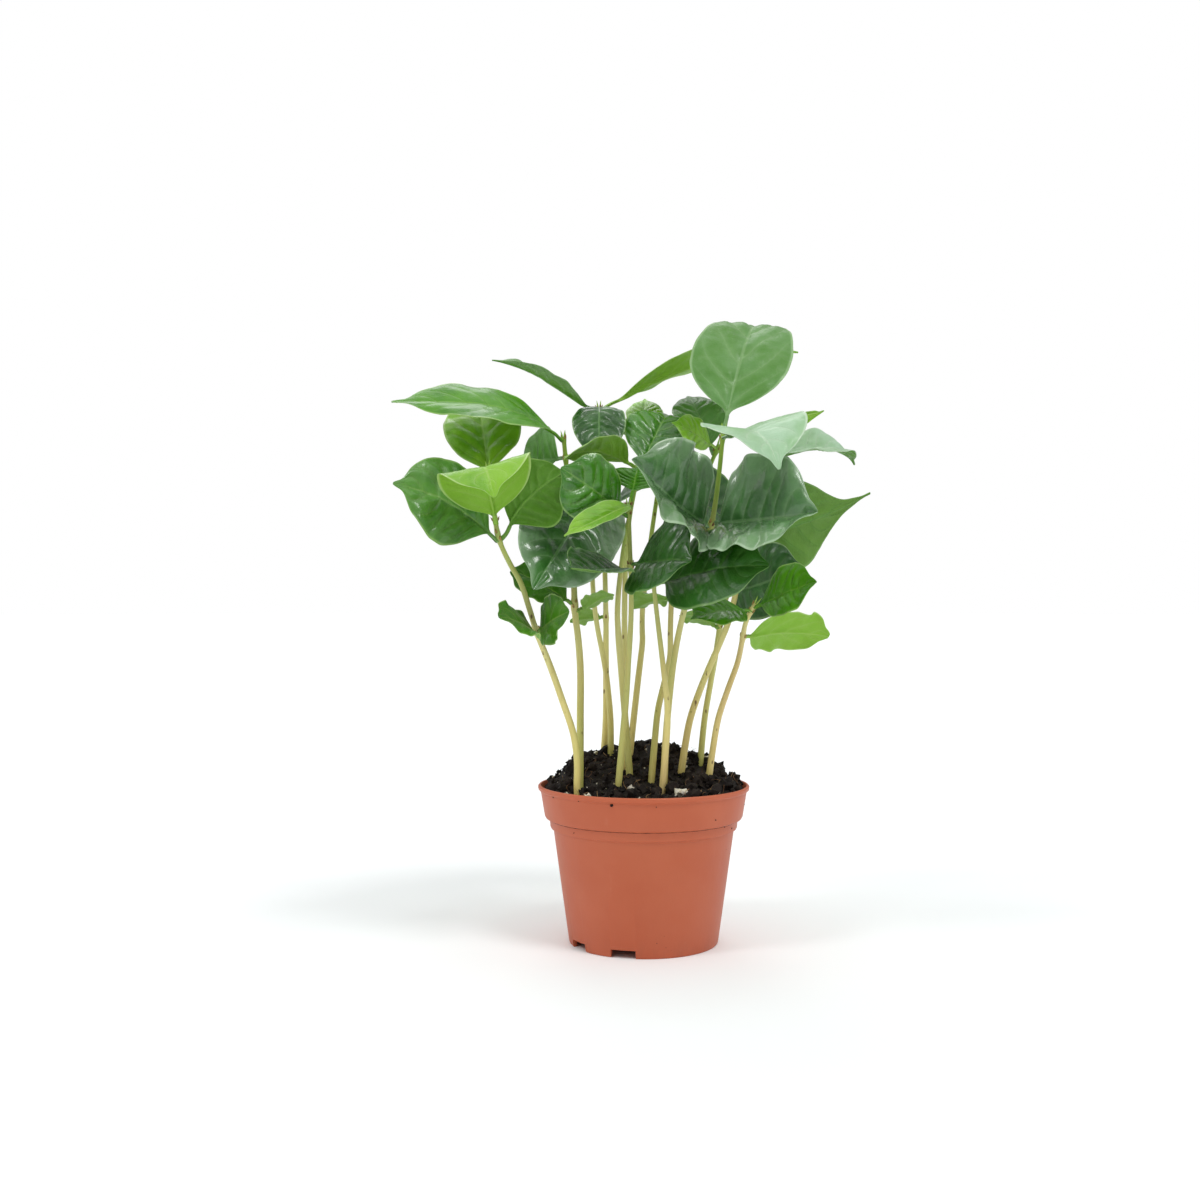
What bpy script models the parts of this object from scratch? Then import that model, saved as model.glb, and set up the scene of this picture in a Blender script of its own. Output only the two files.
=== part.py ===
"""Potted coffee plant: a bunch of coffee seedlings growing in a small plastic grow pot.

The pot is a thin-walled moulded shell with a deep rim band and drain notches in its foot. The
soil is one heaped block inside it. Each seedling is a bare stem with seed leaves half way up
and pairs of pointed true leaves above, and every stem and every leaf is a solid of its own.

Lengths are in millimetres and become metres when a mesh is made. +Z is up, the front of the
pot faces -Y, and the origin is the middle of the pot's foot.
"""
import math

import bmesh
import bpy
from mathutils import Matrix, Quaternion, Vector

MM = 0.001

# Driving sizes
POT_RIM_RADIUS = 45.0
POT_HEIGHT = 67.0
POT_FOOT_RADIUS = 31.8
POT_WALL = 1.0
RIM_BAND_HEIGHT = 16.0
FOOT_RING_WIDTH = 1.8
FOOT_RECESS = 3.6
FLOOR_THICKNESS = 1.0
NOTCH_WIDTH = 10.5
NOTCH_HEIGHT = 3.4
NOTCH_AZIMUTHS = (-107, -150, 73, 30)      # degrees from +X: two in front, two behind
DRAIN_HOLE_RADIUS = 3.0
DRAIN_HOLE_RING = 20.0
DRAIN_HOLES = 4
CLEARANCE = 0.3                            # air between any two pieces that touch
POT_SIDES = 48

SOIL_EDGE_HEIGHT = 64.8
SOIL_HEAP = 7.7                            # how far the middle stands above the edge
SOIL_BACK_SLOPE = 0.2                      # the heap rises towards the back
SOIL_SIDES = POT_SIDES
SOIL_LUMPS = (                             # x, y, height, radius
    (6, 30, 5.5, 12), (-20, 6, 3.0, 10), (27, 17, 3.5, 10), (-30, 20, 2.0, 9),
    (12, -6, -2.0, 9), (-12, 26, 1.5, 8), (34, -8, 1.2, 7), (-8, -30, 1.0, 8),
)

STEM_FOOT_RADIUS = 1.45
STEM_TIP_RADIUS = 0.85
STEM_SIDES = 8
TAPROOT_DEPTH = 16.0                       # how far a stem reaches down into the soil

LEAF_THICKNESS = 0.5
MIDRIB_THICKNESS = 1.0
TRUE_LEAF_STALK = 0.09                     # bare stalk, as a share of the leaf's length
SEED_LEAF_STALK = 0.05
PETIOLE_RADIUS = 0.75
PETIOLE_GROOVE = 0.55                      # how high a stalk's upper side stands, in radii

# Half-breadth of a blade along its length, as a share of its full half-breadth
TRUE_LEAF_OUTLINE = (
    (0.00, 0.06), (0.08, 0.34), (0.19, 0.69), (0.32, 0.92), (0.46, 1.00),
    (0.60, 0.94), (0.73, 0.74), (0.84, 0.46), (0.92, 0.20), (1.00, 0.03),
)
BROAD_LEAF_OUTLINE = (
    (0.00, 0.06), (0.08, 0.32), (0.19, 0.64), (0.32, 0.87), (0.46, 0.98),
    (0.60, 1.00), (0.73, 0.91), (0.84, 0.68), (0.93, 0.34), (1.00, 0.03),
)
WIDE_LEAF_OUTLINE = (
    (0.00, 0.10), (0.06, 0.48), (0.15, 0.79), (0.28, 0.96), (0.44, 1.00),
    (0.60, 0.97), (0.74, 0.84), (0.86, 0.57), (0.94, 0.26), (1.00, 0.03),
)
BLUNT_LEAF_OUTLINE = (
    (0.00, 0.14), (0.04, 0.58), (0.12, 0.84), (0.26, 0.98), (0.44, 1.00),
    (0.60, 0.97), (0.74, 0.84), (0.86, 0.58), (0.94, 0.27), (1.00, 0.03),
)
ROUNDED_LEAF_OUTLINE = (
    (0.00, 0.10), (0.05, 0.38), (0.13, 0.70), (0.24, 0.94), (0.36, 1.00),
    (0.50, 0.94), (0.66, 0.78), (0.81, 0.52), (0.92, 0.25), (1.00, 0.03),
)
LONG_TIPPED_OUTLINE = (
    (0.00, 0.08), (0.06, 0.46), (0.14, 0.83), (0.24, 1.00), (0.36, 0.97),
    (0.48, 0.76), (0.59, 0.45), (0.70, 0.21), (0.84, 0.09), (1.00, 0.03),
)
SEED_LEAF_OUTLINE = (
    (0.00, 0.08), (0.08, 0.50), (0.19, 0.80), (0.33, 0.97), (0.48, 1.00),
    (0.63, 0.96), (0.76, 0.84), (0.87, 0.64), (0.95, 0.38), (1.00, 0.12),
)

# Each seedling's middle line from the soil up: x, y, z
SEEDLINGS = {
    "stem_01": ((-28, -22, 69), (-29, -22, 88), (-40, -25, 121), (-44, -27, 131),
                (-51, -31, 153), (-59, -33, 169), (-64, -30, 199)),
    "stem_02": ((-27, -14, 70), (-27, -12, 120), (-29, -10, 139), (-30, -6, 163),
                (-32, -4, 192), (-34, -6, 214)),
    "stem_03": ((-17, 24, 76), (-16, 24, 93), (-16, 24, 127), (-16, 24, 138),
                (-17, 22, 181), (-19, 18, 230)),
    "stem_04": ((-14, 18, 75), (-14, 17, 93), (-16, 15, 114), (-18, 14, 125),
                (-21, 12, 143), (-22, 8, 172), (-18, 2, 199)),
    "stem_05": ((-11, -20, 69), (-8, -22, 103), (-7, -24, 120), (-6, -26, 137),
                (-6, -28, 153), (-7, -30, 184)),
    "stem_06": ((-6, -8, 71), (-10, -10, 120), (-11, -10, 133), (-11, -10, 146),
                (-8, -8, 171), (-2, -12, 202)),
    "stem_07": ((-8, -2, 72), (-8, 0, 120), (-8, 2, 148), (-6, 6, 180), (1, 14, 216)),
    "stem_08": ((-6, 14, 75), (-5, 14, 83), (-2, 14, 110), (0, 15, 128), (0, 17, 140),
                (4, 26, 172), (9, 34, 204)),
    "stem_09": ((7, -24, 68), (9, -26, 97), (8, -26, 112), (5, -26, 137), (3, -27, 154)),
    "stem_10": ((3, -11, 70), (6, -8, 100), (11, -4, 121), (12, -2, 146), (20, 4, 180),
                (33, 10, 213)),
    "stem_11": ((8, -15, 69), (9, -17, 92), (12, -20, 121), (17, -24, 145), (27, -30, 178),
                (32, -24, 215)),
    "stem_12": ((16, 0, 71), (20, -1, 95), (28, -2, 117), (36, -2, 136), (41, 2, 156),
                (47, 10, 185), (57, 12, 211)),
    "stem_13": ((25, 10, 74), (27, 11, 94), (32, 12, 123), (34, 13, 136), (38, 20, 150),
                (42, 32, 170)),
    "stem_14": ((27, -10, 70), (31, -12, 96), (39, -14, 120), (42, -16, 136), (46, -17, 144)),
}

# Each leaf: seedling, height of its node, tip, breadth, the way its upper side faces half way
# along, and its bends in degrees. Lift and droop bend it off the straight line from node to
# tip at each end, fold closes its halves towards each other, curl turns its margins.
LEAVES = {
    "leaf_01_low_left": dict(stem="stem_01", node=167, tip=(-99, -54, 191), breadth=40,
                             face=(-1, -6, 4), bow=(-1, 0, 2), lift=22, droop=20, fold=6,
                             curl=-14),
    "leaf_01_low_right": dict(stem="stem_01", node=167, tip=(-31, -41, 197), breadth=32,
                              face=(6, 8, 1), bow=(-1, 0, 1), lift=22, droop=20, fold=8, curl=-6),
    "leaf_01_young": dict(stem="stem_01", node=171, tip=(-59, -63, 185), breadth=38,
                          face=(-13, 0, 50), lift=50, droop=93, reach=0.78, fold=4, curl=0,
                          stalk=0.04, outline=WIDE_LEAF_OUTLINE, slot="leaf_young"),
    "leaf_01_top": dict(stem="stem_01", node=194, tip=(-72, 14, 232), breadth=33,
                        face=(0, -6, 5), lift=-5, droop=30, fold=16, curl=-20,
                        slot="leaf_young"),
    "seed_leaf_01_left": dict(stem="stem_01", node=131, tip=(-58, -51, 139), breadth=21,
                              face=(-1, -7, 5), seed=True, fold=10, wave=0.8),
    "seed_leaf_01_right": dict(stem="stem_01", node=132, tip=(-31, -44, 141), breadth=21,
                               face=(2, -6, 3), seed=True, fold=10, wave=1.2),
    "leaf_02_left": dict(stem="stem_02", node=212, tip=(-103, -32, 226), breadth=33,
                         face=(-1, -5, 7), lift=34, droop=14, fold=12, curl=-18,
                         slot="leaf_young"),
    "leaf_02_right": dict(stem="stem_02", node=206, tip=(-54, 16, 203), breadth=34,
                          face=(-2, -7, 4), lift=10, droop=25, fold=14, curl=-10),
    "seed_leaf_02_left": dict(stem="stem_02", node=143, tip=(-56, -12, 158), breadth=22,
                              face=(-1, -5, 6), seed=True, fold=6, wave=0.8),
    "seed_leaf_02_right": dict(stem="stem_02", node=140, tip=(-13, -15, 148), breadth=17,
                               face=(-1, 2, 7), seed=True, fold=6, wave=0.8),
    "leaf_03_left": dict(stem="stem_03", node=228, tip=(-65, 4, 249), breadth=28,
                         face=(1, -1, 6), lift=4, droop=18, fold=18, curl=-8),
    "leaf_03_right": dict(stem="stem_03", node=229, tip=(72, 42, 259), breadth=30,
                          face=(-1, 2, 7), lift=14, droop=20, fold=14, curl=-8,
                          slot="leaf_young"),
    "leaf_03_front": dict(stem="stem_03", node=229, tip=(-19, -10, 203), breadth=23,
                          face=(0, -6, 3), lift=60, droop=18, fold=8, curl=-14),
    "seed_leaf_03": dict(stem="stem_03", node=138, tip=(-32, 22, 136), breadth=15,
                         face=(-1, 3, 6), seed=True, wave=0.8),
    "leaf_04_front": dict(stem="stem_04", node=196, tip=(-45, -42, 150), breadth=42,
                          face=(3, -9, 3), lift=14, droop=10, fold=12, curl=-20,
                          outline=BLUNT_LEAF_OUTLINE, stalk=0.05),
    "leaf_04_back": dict(stem="stem_04", node=190, tip=(-52, 62, 176), breadth=36,
                         face=(-1, 3, 6), lift=25, droop=30, fold=12, curl=-14),
    "leaf_05_right": dict(stem="stem_05", node=160, tip=(17, -52, 161), breadth=40,
                          face=(0, -7, 4), lift=6, droop=12, fold=14, curl=-6,
                          outline=WIDE_LEAF_OUTLINE),
    "leaf_05_left": dict(stem="stem_05", node=158, tip=(-30, -62, 158), breadth=30,
                         face=(0, -4, 6), lift=0, droop=-6, fold=18, curl=0),
    "leaf_05_young": dict(stem="stem_05", node=184, tip=(-32, -70, 170), breadth=13,
                          face=(1, -3, 5), bow=(0, -1, 0), lift=35, droop=-6, fold=24,
                          curl=-6, slot="leaf_young"),
    "leaf_05_top": dict(stem="stem_05", node=182, tip=(-3, -24, 200), breadth=24,
                        face=(0, -5, 4), lift=8, droop=14, fold=14, curl=-6),
    "leaf_05_upper": dict(stem="stem_05", node=179, tip=(-34, -45, 198), breadth=28,
                          face=(-1, -8, 2), lift=10, droop=14, fold=6, curl=-20,
                          outline=BROAD_LEAF_OUTLINE, slot="leaf_young"),
    "leaf_06_left": dict(stem="stem_06", node=200, tip=(-33, -38, 202), breadth=24,
                         face=(-1, 2, 6), lift=34, droop=34, fold=10, curl=-10,
                         slot="leaf_young"),
    "leaf_06_right": dict(stem="stem_06", node=199, tip=(12, 20, 227), breadth=29,
                          face=(0, -6, 4), lift=4, droop=44, fold=12, curl=-14,
                          slot="leaf_young"),
    "leaf_07_left": dict(stem="stem_07", node=213, tip=(-24, 58, 226), breadth=28,
                         face=(0, 1, 6), lift=12, droop=26, fold=14, curl=-8),
    "leaf_07_right": dict(stem="stem_07", node=214, tip=(2, 44, 238), breadth=17,
                          face=(0, -4, 3), lift=4, droop=10, fold=10, curl=-8,
                          slot="leaf_young"),
    "leaf_08_left": dict(stem="stem_08", node=200, tip=(-16, 70, 184), breadth=34,
                         face=(0, -5, 5), lift=14, droop=18, fold=14, curl=-10),
    "leaf_08_right": dict(stem="stem_08", node=202, tip=(46, 59, 176), breadth=39,
                          face=(0, -6, 4), lift=10, droop=14, fold=14, curl=-10,
                          outline=WIDE_LEAF_OUTLINE),
    "leaf_09_right": dict(stem="stem_09", node=152, tip=(47, -55, 159), breadth=38,
                          face=(0, -6, 4), lift=8, droop=16, fold=10, curl=-8,
                          outline=WIDE_LEAF_OUTLINE),
    "seed_leaf_10_left": dict(stem="stem_10", node=147, tip=(-4, 9, 142), breadth=20,
                              face=(0, 2, 7), seed=True, wave=1.0),
    "leaf_10_left": dict(stem="stem_10", node=211, tip=(12, -4, 221), breadth=18,
                         face=(0, -6, 4), lift=10, droop=12, fold=10, curl=-6,
                         slot="leaf_young"),
    "leaf_10_right": dict(stem="stem_10", node=208, tip=(22, 50, 240), breadth=24,
                          face=(0, -6, 5), lift=4, droop=20, fold=12, curl=-8),
    "leaf_11_low_right": dict(stem="stem_11", node=177, tip=(66, -54, 180), breadth=56,
                              face=(0, -7, 5), bow=(0, 0, -1), lift=4, droop=4, fold=30,
                              curl=-10, outline=BLUNT_LEAF_OUTLINE, stalk=0.04),
    "leaf_11_low_left": dict(stem="stem_11", node=175, tip=(-6, -58, 200), breadth=50,
                             face=(0, -7, 5), bow=(0, 0, -1), lift=8, droop=8, fold=30,
                             curl=-10, outline=BLUNT_LEAF_OUTLINE, stalk=0.04),
    "leaf_11_top_back": dict(stem="stem_11", node=213, tip=(52, 30, 264), breadth=43,
                             face=(-1, -7, 4), lift=28, droop=66, fold=8, curl=-12,
                             slot="leaf_young", outline=ROUNDED_LEAF_OUTLINE, stalk=0.07),
    "leaf_11_top_front": dict(stem="stem_11", node=212, tip=(49, -70, 195), breadth=43,
                              face=(0, -3, 6), lift=22, droop=52, reach=0.42, fold=16, curl=-4,
                              slot="leaf_young"),
    "leaf_12_low_right": dict(stem="stem_12", node=172, tip=(101, 22, 193), breadth=40,
                              face=(0, 6, 3), lift=-14, droop=-14, twist=30, fold=4,
                              curl=-6, outline=LONG_TIPPED_OUTLINE),
    "leaf_12_top_right": dict(stem="stem_12", node=208, tip=(95, 26, 206), breadth=28,
                              face=(0, -3, 6), lift=20, droop=48, fold=20, curl=-6,
                              slot="leaf_young"),
    "leaf_12_top_front": dict(stem="stem_12", node=209, tip=(75, -12, 225), breadth=14,
                              face=(-4, 0, 5), lift=10, droop=6, fold=36, curl=0,
                              slot="leaf_young"),
    "leaf_13_front": dict(stem="stem_13", node=148, tip=(67, -14, 159), breadth=35,
                          face=(0, -7, 3), bow=(0, -1, 0), lift=26, droop=15, fold=10,
                          curl=-10, outline=BROAD_LEAF_OUTLINE),
    "leaf_13_back": dict(stem="stem_13", node=166, tip=(62, 74, 160), breadth=36,
                         face=(1, 4, 7), lift=18, droop=26, fold=12, curl=-12),
    "leaf_14_left": dict(stem="stem_14", node=141, tip=(18, -36, 138), breadth=25,
                         face=(0, -4, 6), fold=8),
    "leaf_14_right": dict(stem="stem_14", node=142, tip=(68, -38, 153), breadth=25,
                          face=(-1, -6, 4), lift=6, droop=8, fold=14, curl=-8,
                          outline=BROAD_LEAF_OUTLINE),
    "seed_leaf_13": dict(stem="stem_13", node=133, tip=(17, -6, 140), breadth=14,
                         face=(-1, 3, 6), seed=True, wave=0.8),
    "seed_leaf_14_right": dict(stem="stem_14", node=130, tip=(80, 5, 130), breadth=25,
                               face=(-1, 6, 6), seed=True, fold=6, wave=1.4),
}

SLOT_COLOURS = {                           # base colour and roughness of each material
    "pot_plastic": ((0.55, 0.14, 0.06), 0.42),
    "soil": ((0.012, 0.008, 0.006), 0.95),
    "stem": ((0.52, 0.50, 0.20), 0.5),
    "leaf_mature": ((0.03, 0.14, 0.03), 0.32),
    "leaf_young": ((0.12, 0.36, 0.04), 0.32),
    "seed_leaf": ((0.14, 0.32, 0.08), 0.4),
}


def clear_scene():
    for item in list(bpy.data.objects):
        bpy.data.objects.remove(item, do_unlink=True)


def make_materials():
    made = {}
    for slot, (colour, roughness) in SLOT_COLOURS.items():
        material = bpy.data.materials.new(slot)
        material.use_nodes = True
        shader = material.node_tree.nodes["Principled BSDF"]
        shader.inputs["Base Color"].default_value = (*colour, 1.0)
        shader.inputs["Roughness"].default_value = roughness
        shader.inputs["Metallic"].default_value = 0.0
        made[slot] = material
    return made


def object_from_bmesh(name, shape, material, smooth_angle=40):
    """Turn a bmesh in millimetres into an object in metres, faces pointing out."""
    bmesh.ops.recalc_face_normals(shape, faces=shape.faces)
    bmesh.ops.scale(shape, vec=(MM, MM, MM), verts=shape.verts)
    mesh = bpy.data.meshes.new(name)
    shape.to_mesh(mesh)
    shape.free()
    mesh.shade_smooth()
    mesh.set_sharp_from_angle(angle=math.radians(smooth_angle))
    if material:
        mesh.materials.append(material)
    made = bpy.data.objects.new(name, mesh)
    bpy.context.collection.objects.link(made)
    return made


def as_cutter(item, target, name):
    """Hide a cutter and take its shape out of the target."""
    item.hide_render = True
    item.display_type = "WIRE"
    cut = target.modifiers.new(name, "BOOLEAN")
    cut.operation = "DIFFERENCE"
    cut.object = item


def turned_solid(profile, sides):
    """Spin a closed profile of (radius, height) points about the Z axis."""
    shape = bmesh.new()
    rings = []
    for radius, height in profile:
        if radius == 0:
            rings.append([shape.verts.new((0, 0, height))])
            continue
        rings.append([
            shape.verts.new((radius * math.cos(math.tau * k / sides),
                             radius * math.sin(math.tau * k / sides), height))
            for k in range(sides)
        ])
    for lower, upper in zip(rings, rings[1:]):
        for k in range(sides):
            j = (k + 1) % sides
            corners = [lower[k % len(lower)], lower[j % len(lower)],
                       upper[j % len(upper)], upper[k % len(upper)]]
            shape.faces.new(list(dict.fromkeys(corners)))
    return shape


def pot_profile():
    """The pot's section, from the middle of its floor out, up to the rim and back inside."""
    band_foot = POT_HEIGHT - RIM_BAND_HEIGHT
    neck = POT_RIM_RADIUS - 6.1
    recess = FOOT_RECESS
    floor_top = recess + FLOOR_THICKNESS
    inside_foot = POT_FOOT_RADIUS - POT_WALL
    return (
        (0, recess), (POT_FOOT_RADIUS - FOOT_RING_WIDTH, recess),
        (POT_FOOT_RADIUS - FOOT_RING_WIDTH, 0), (POT_FOOT_RADIUS - 0.5, 0),
        (POT_FOOT_RADIUS, 0.6), (neck, band_foot - 1.2),
        (POT_RIM_RADIUS - 3.6, band_foot - 0.3), (POT_RIM_RADIUS - 2.9, band_foot + 0.6),
        (POT_RIM_RADIUS - 1.9, POT_HEIGHT - 11.2), (POT_RIM_RADIUS - 1.6, POT_HEIGHT - 10.4),
        (POT_RIM_RADIUS, POT_HEIGHT - 1.2), (POT_RIM_RADIUS - 0.3, POT_HEIGHT),
        (POT_RIM_RADIUS - 1.0, POT_HEIGHT), (POT_RIM_RADIUS - 1.3, POT_HEIGHT - 1.4),
        (POT_RIM_RADIUS - 3.4, band_foot + 1.2), (neck - POT_WALL, band_foot - 0.6),
        (inside_foot + 0.4, floor_top + 0.8), (inside_foot - 0.6, floor_top), (0, floor_top),
    )


def make_pot(material):
    pot = object_from_bmesh("grow_pot", turned_solid(pot_profile(), POT_SIDES), material)
    for number, azimuth in enumerate(NOTCH_AZIMUTHS, 1):
        notch = bmesh.new()
        bmesh.ops.create_cube(notch, size=1.0)
        bmesh.ops.scale(notch, vec=(12, NOTCH_WIDTH, 2 * NOTCH_HEIGHT), verts=notch.verts)
        bmesh.ops.translate(notch, vec=(POT_FOOT_RADIUS, 0, 0), verts=notch.verts)
        bmesh.ops.rotate(notch, matrix=Matrix.Rotation(math.radians(azimuth), 3, "Z"),
                         verts=notch.verts)
        as_cutter(object_from_bmesh(f"notch_cutter_{number}", notch, None), pot, "drain notch")
    for number in range(DRAIN_HOLES):
        angle = math.radians(NOTCH_AZIMUTHS[0]) + math.tau * number / DRAIN_HOLES
        drill = bmesh.new()
        bmesh.ops.create_cone(drill, cap_ends=True, segments=12, radius1=DRAIN_HOLE_RADIUS,
                              radius2=DRAIN_HOLE_RADIUS, depth=4 * FLOOR_THICKNESS)
        bmesh.ops.translate(drill, verts=drill.verts,
                            vec=(DRAIN_HOLE_RING * math.cos(angle),
                                 DRAIN_HOLE_RING * math.sin(angle), FOOT_RECESS + 0.5))
        as_cutter(object_from_bmesh(f"drain_cutter_{number + 1}", drill, None), pot, "drain")
    return pot


def soil_height(x, y):
    """Height of the soil's surface: a heap that meets the wall, with lumps and hollows."""
    out = min(1.0, math.hypot(x, y) / (POT_RIM_RADIUS - 2))
    heap = SOIL_HEAP + SOIL_BACK_SLOPE * y
    for lump_x, lump_y, height, radius in SOIL_LUMPS:
        heap += height * math.exp(-((x - lump_x) ** 2 + (y - lump_y) ** 2) / radius ** 2)
    ripple = 0.5 * math.sin(0.55 * x + 1.0) * math.cos(0.47 * y)
    return SOIL_EDGE_HEIGHT + (heap + ripple) * (1 - out ** 4) + 0.05 * y * out


def make_soil(material):
    """One block of soil that fills the pot up to the heap, with a socket for every stem."""
    floor_top = FOOT_RECESS + FLOOR_THICKNESS
    neck = POT_RIM_RADIUS - 6.1 - POT_WALL
    band_foot = POT_HEIGHT - RIM_BAND_HEIGHT
    inside_foot = POT_FOOT_RADIUS - POT_WALL
    side = (
        (inside_foot - 1.2, floor_top + CLEARANCE),
        (inside_foot - 0.2, floor_top + 1.4),
        (neck - 0.6, band_foot - 0.6),
        (POT_RIM_RADIUS - 4.0, band_foot + 2.0),
    )
    edge_radius = POT_RIM_RADIUS - 2.3
    shares = (0.94, 0.85, 0.75, 0.64, 0.52, 0.39, 0.26, 0.13)
    shape = bmesh.new()
    rings = []
    for radius, height in side:
        rings.append([(radius, None, height)] * SOIL_SIDES)
    rings.append([(edge_radius, None, None)] * SOIL_SIDES)
    for share in shares:
        rings.append([(edge_radius * share, None, None)] * SOIL_SIDES)
    loops = []
    for ring in rings:
        loop = []
        for k, (radius, _, height) in enumerate(ring):
            angle = math.tau * k / SOIL_SIDES
            x, y = radius * math.cos(angle), radius * math.sin(angle)
            loop.append(shape.verts.new((x, y, soil_height(x, y) if height is None else height)))
        loops.append(loop)
    for lower, upper in zip(loops, loops[1:]):
        for k in range(SOIL_SIDES):
            j = (k + 1) % SOIL_SIDES
            shape.faces.new((lower[k], lower[j], upper[j], upper[k]))
    bottom = shape.verts.new((0, 0, floor_top + CLEARANCE))
    top = shape.verts.new((0, 0, soil_height(0, 0)))
    for k in range(SOIL_SIDES):
        j = (k + 1) % SOIL_SIDES
        shape.faces.new((loops[0][j], loops[0][k], bottom))
        shape.faces.new((loops[-1][k], loops[-1][j], top))
    soil = object_from_bmesh("soil", shape, material, smooth_angle=60)
    for name, points in SEEDLINGS.items():
        foot = Vector(points[0])
        rise = (Vector(points[1]) - foot).normalized()
        start = foot - rise * (TAPROOT_DEPTH + 2 * CLEARANCE)
        end = foot + rise * 12
        radius = STEM_FOOT_RADIUS + 2 * CLEARANCE
        socket = tube_shape([start, end], [radius, radius], STEM_SIDES)
        as_cutter(object_from_bmesh(f"socket_{name}", socket, None), soil, "stem socket")
    return soil


def tube_shape(points, radii, sides):
    """A closed tube along the points, its rings square to the path."""
    shape = bmesh.new()
    frame_side = Vector((1, 0, 0))
    loops = []
    for k, (point, radius) in enumerate(zip(points, radii)):
        ahead = points[min(k + 1, len(points) - 1)] - points[max(k - 1, 0)]
        ahead.normalize()
        side = (frame_side - ahead * frame_side.dot(ahead)).normalized()
        other = ahead.cross(side)
        frame_side = side
        loops.append([
            shape.verts.new(point + radius * (side * math.cos(math.tau * j / sides)
                                              + other * math.sin(math.tau * j / sides)))
            for j in range(sides)
        ])
    for lower, upper in zip(loops, loops[1:]):
        for j in range(sides):
            shape.faces.new((lower[j], lower[(j + 1) % sides],
                             upper[(j + 1) % sides], upper[j]))
    shape.faces.new(list(reversed(loops[0])))
    shape.faces.new(loops[-1])
    return shape


def smooth_path(points, steps):
    """Catmull-Rom points through the given ones."""
    points = [Vector(p) for p in points]
    padded = [2 * points[0] - points[1], *points, 2 * points[-1] - points[-2]]
    path = []
    for before, start, end, after in zip(padded, padded[1:], padded[2:], padded[3:]):
        for step in range(steps):
            t = step / steps
            path.append(0.5 * (2 * start + (end - before) * t
                               + (2 * before - 5 * start + 4 * end - after) * t * t
                               + (3 * start - before - 3 * end + after) * t ** 3))
    return path + [points[-1]]


def stem_radius(share):
    return STEM_FOOT_RADIUS + (STEM_TIP_RADIUS - STEM_FOOT_RADIUS) * share ** 1.3


def make_stem(name, points, material):
    """A stem that tapers upward, with its taproot down in the soil's socket."""
    path = smooth_path(points, 2)
    rise = (Vector(points[1]) - Vector(points[0])).normalized()
    root = path[0] - rise * TAPROOT_DEPTH
    radii = [stem_radius(k / (len(path) - 1)) for k in range(len(path))]
    shape = tube_shape([root, *path], [STEM_FOOT_RADIUS * 0.8, *radii], STEM_SIDES)
    return object_from_bmesh(name, shape, material)


def stem_at(stem, height):
    """The stem's middle and radius at a height."""
    path = smooth_path(SEEDLINGS[stem], 2)
    for k, (lower, upper) in enumerate(zip(path, path[1:])):
        if lower.z <= height <= upper.z:
            t = (height - lower.z) / (upper.z - lower.z)
            return lower.lerp(upper, t), stem_radius((k + t) / (len(path) - 1))
    return path[-1], STEM_TIP_RADIUS


def midrib_curve(root, tip, bow, lift, droop, reach):
    """A cubic curve from root to tip that bends towards bow between them."""
    chord = tip - root
    along = chord.normalized()
    bow = (bow - along * bow.dot(along)).normalized()
    leave = along * math.cos(math.radians(lift)) + bow * math.sin(math.radians(lift))
    arrive = along * math.cos(math.radians(droop)) - bow * math.sin(math.radians(droop))
    first = root + leave * chord.length * reach
    second = tip - arrive * chord.length * reach

    def point(t):
        s = 1 - t
        return s ** 3 * root + 3 * s * s * t * first + 3 * s * t * t * second + t ** 3 * tip

    return point


def carried_normals(points, face):
    """Upper-side direction at each point, turned along the curve from its middle outwards."""
    tangents = [(points[min(k + 1, len(points) - 1)] - points[max(k - 1, 0)]).normalized()
                for k in range(len(points))]
    middle = len(points) // 2
    normals = [None] * len(points)
    first = face - tangents[middle] * face.dot(tangents[middle])
    normals[middle] = first.normalized()
    for order in (range(middle + 1, len(points)), range(middle - 1, -1, -1)):
        for k in order:
            near = k - 1 if k > middle else k + 1
            turn = tangents[near].rotation_difference(tangents[k])
            normals[k] = (turn @ normals[near]).normalized()
    return tangents, normals


def leaf_section(middle, side, normal, half, fold, curl, ripple, lower, rib):
    """Eight points round a blade: margin, half way, midrib, half way, margin, then below."""
    above, below = {0: middle}, {0: middle - normal * rib}
    for sign in (-1, 1):
        inner = math.radians(fold + 0.25 * curl)
        outer = math.radians(fold + 0.75 * curl)
        mid = middle + (side * sign * math.cos(inner) + normal * math.sin(inner)) * half / 2
        edge = mid + (side * sign * math.cos(outer) + normal * math.sin(outer)) * half / 2
        above[sign] = mid
        above[2 * sign] = edge + normal * ripple * sign
        below[sign] = mid - normal * lower
    return [above[-2], above[-1], above[0], above[1], above[2],
            below[1], below[0], below[-1]]


def skin_between(shape, ring, following):
    """Skin a leaf from ring to ring, split the same way above and below its thin margin."""
    for j in range(4):
        for a, b in ((j, j + 1), (-j % 8, -(j + 1) % 8)):
            shape.faces.new((ring[a], ring[b], following[b]))
            shape.faces.new((ring[a], following[b], following[a]))


def petiole_section(middle, side, normal, radius):
    """Eight points round the leaf's stalk, in a blade's order: grooved above, round below."""
    angles = (180, 130, 90, 50, 0, -50, -90, -130)
    shares = (1, 1, PETIOLE_GROOVE, 1, 1, 1, 1, 1)
    return [middle + radius * share * (side * math.cos(math.radians(a))
                                       + normal * math.sin(math.radians(a)))
            for a, share in zip(angles, shares)]


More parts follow.
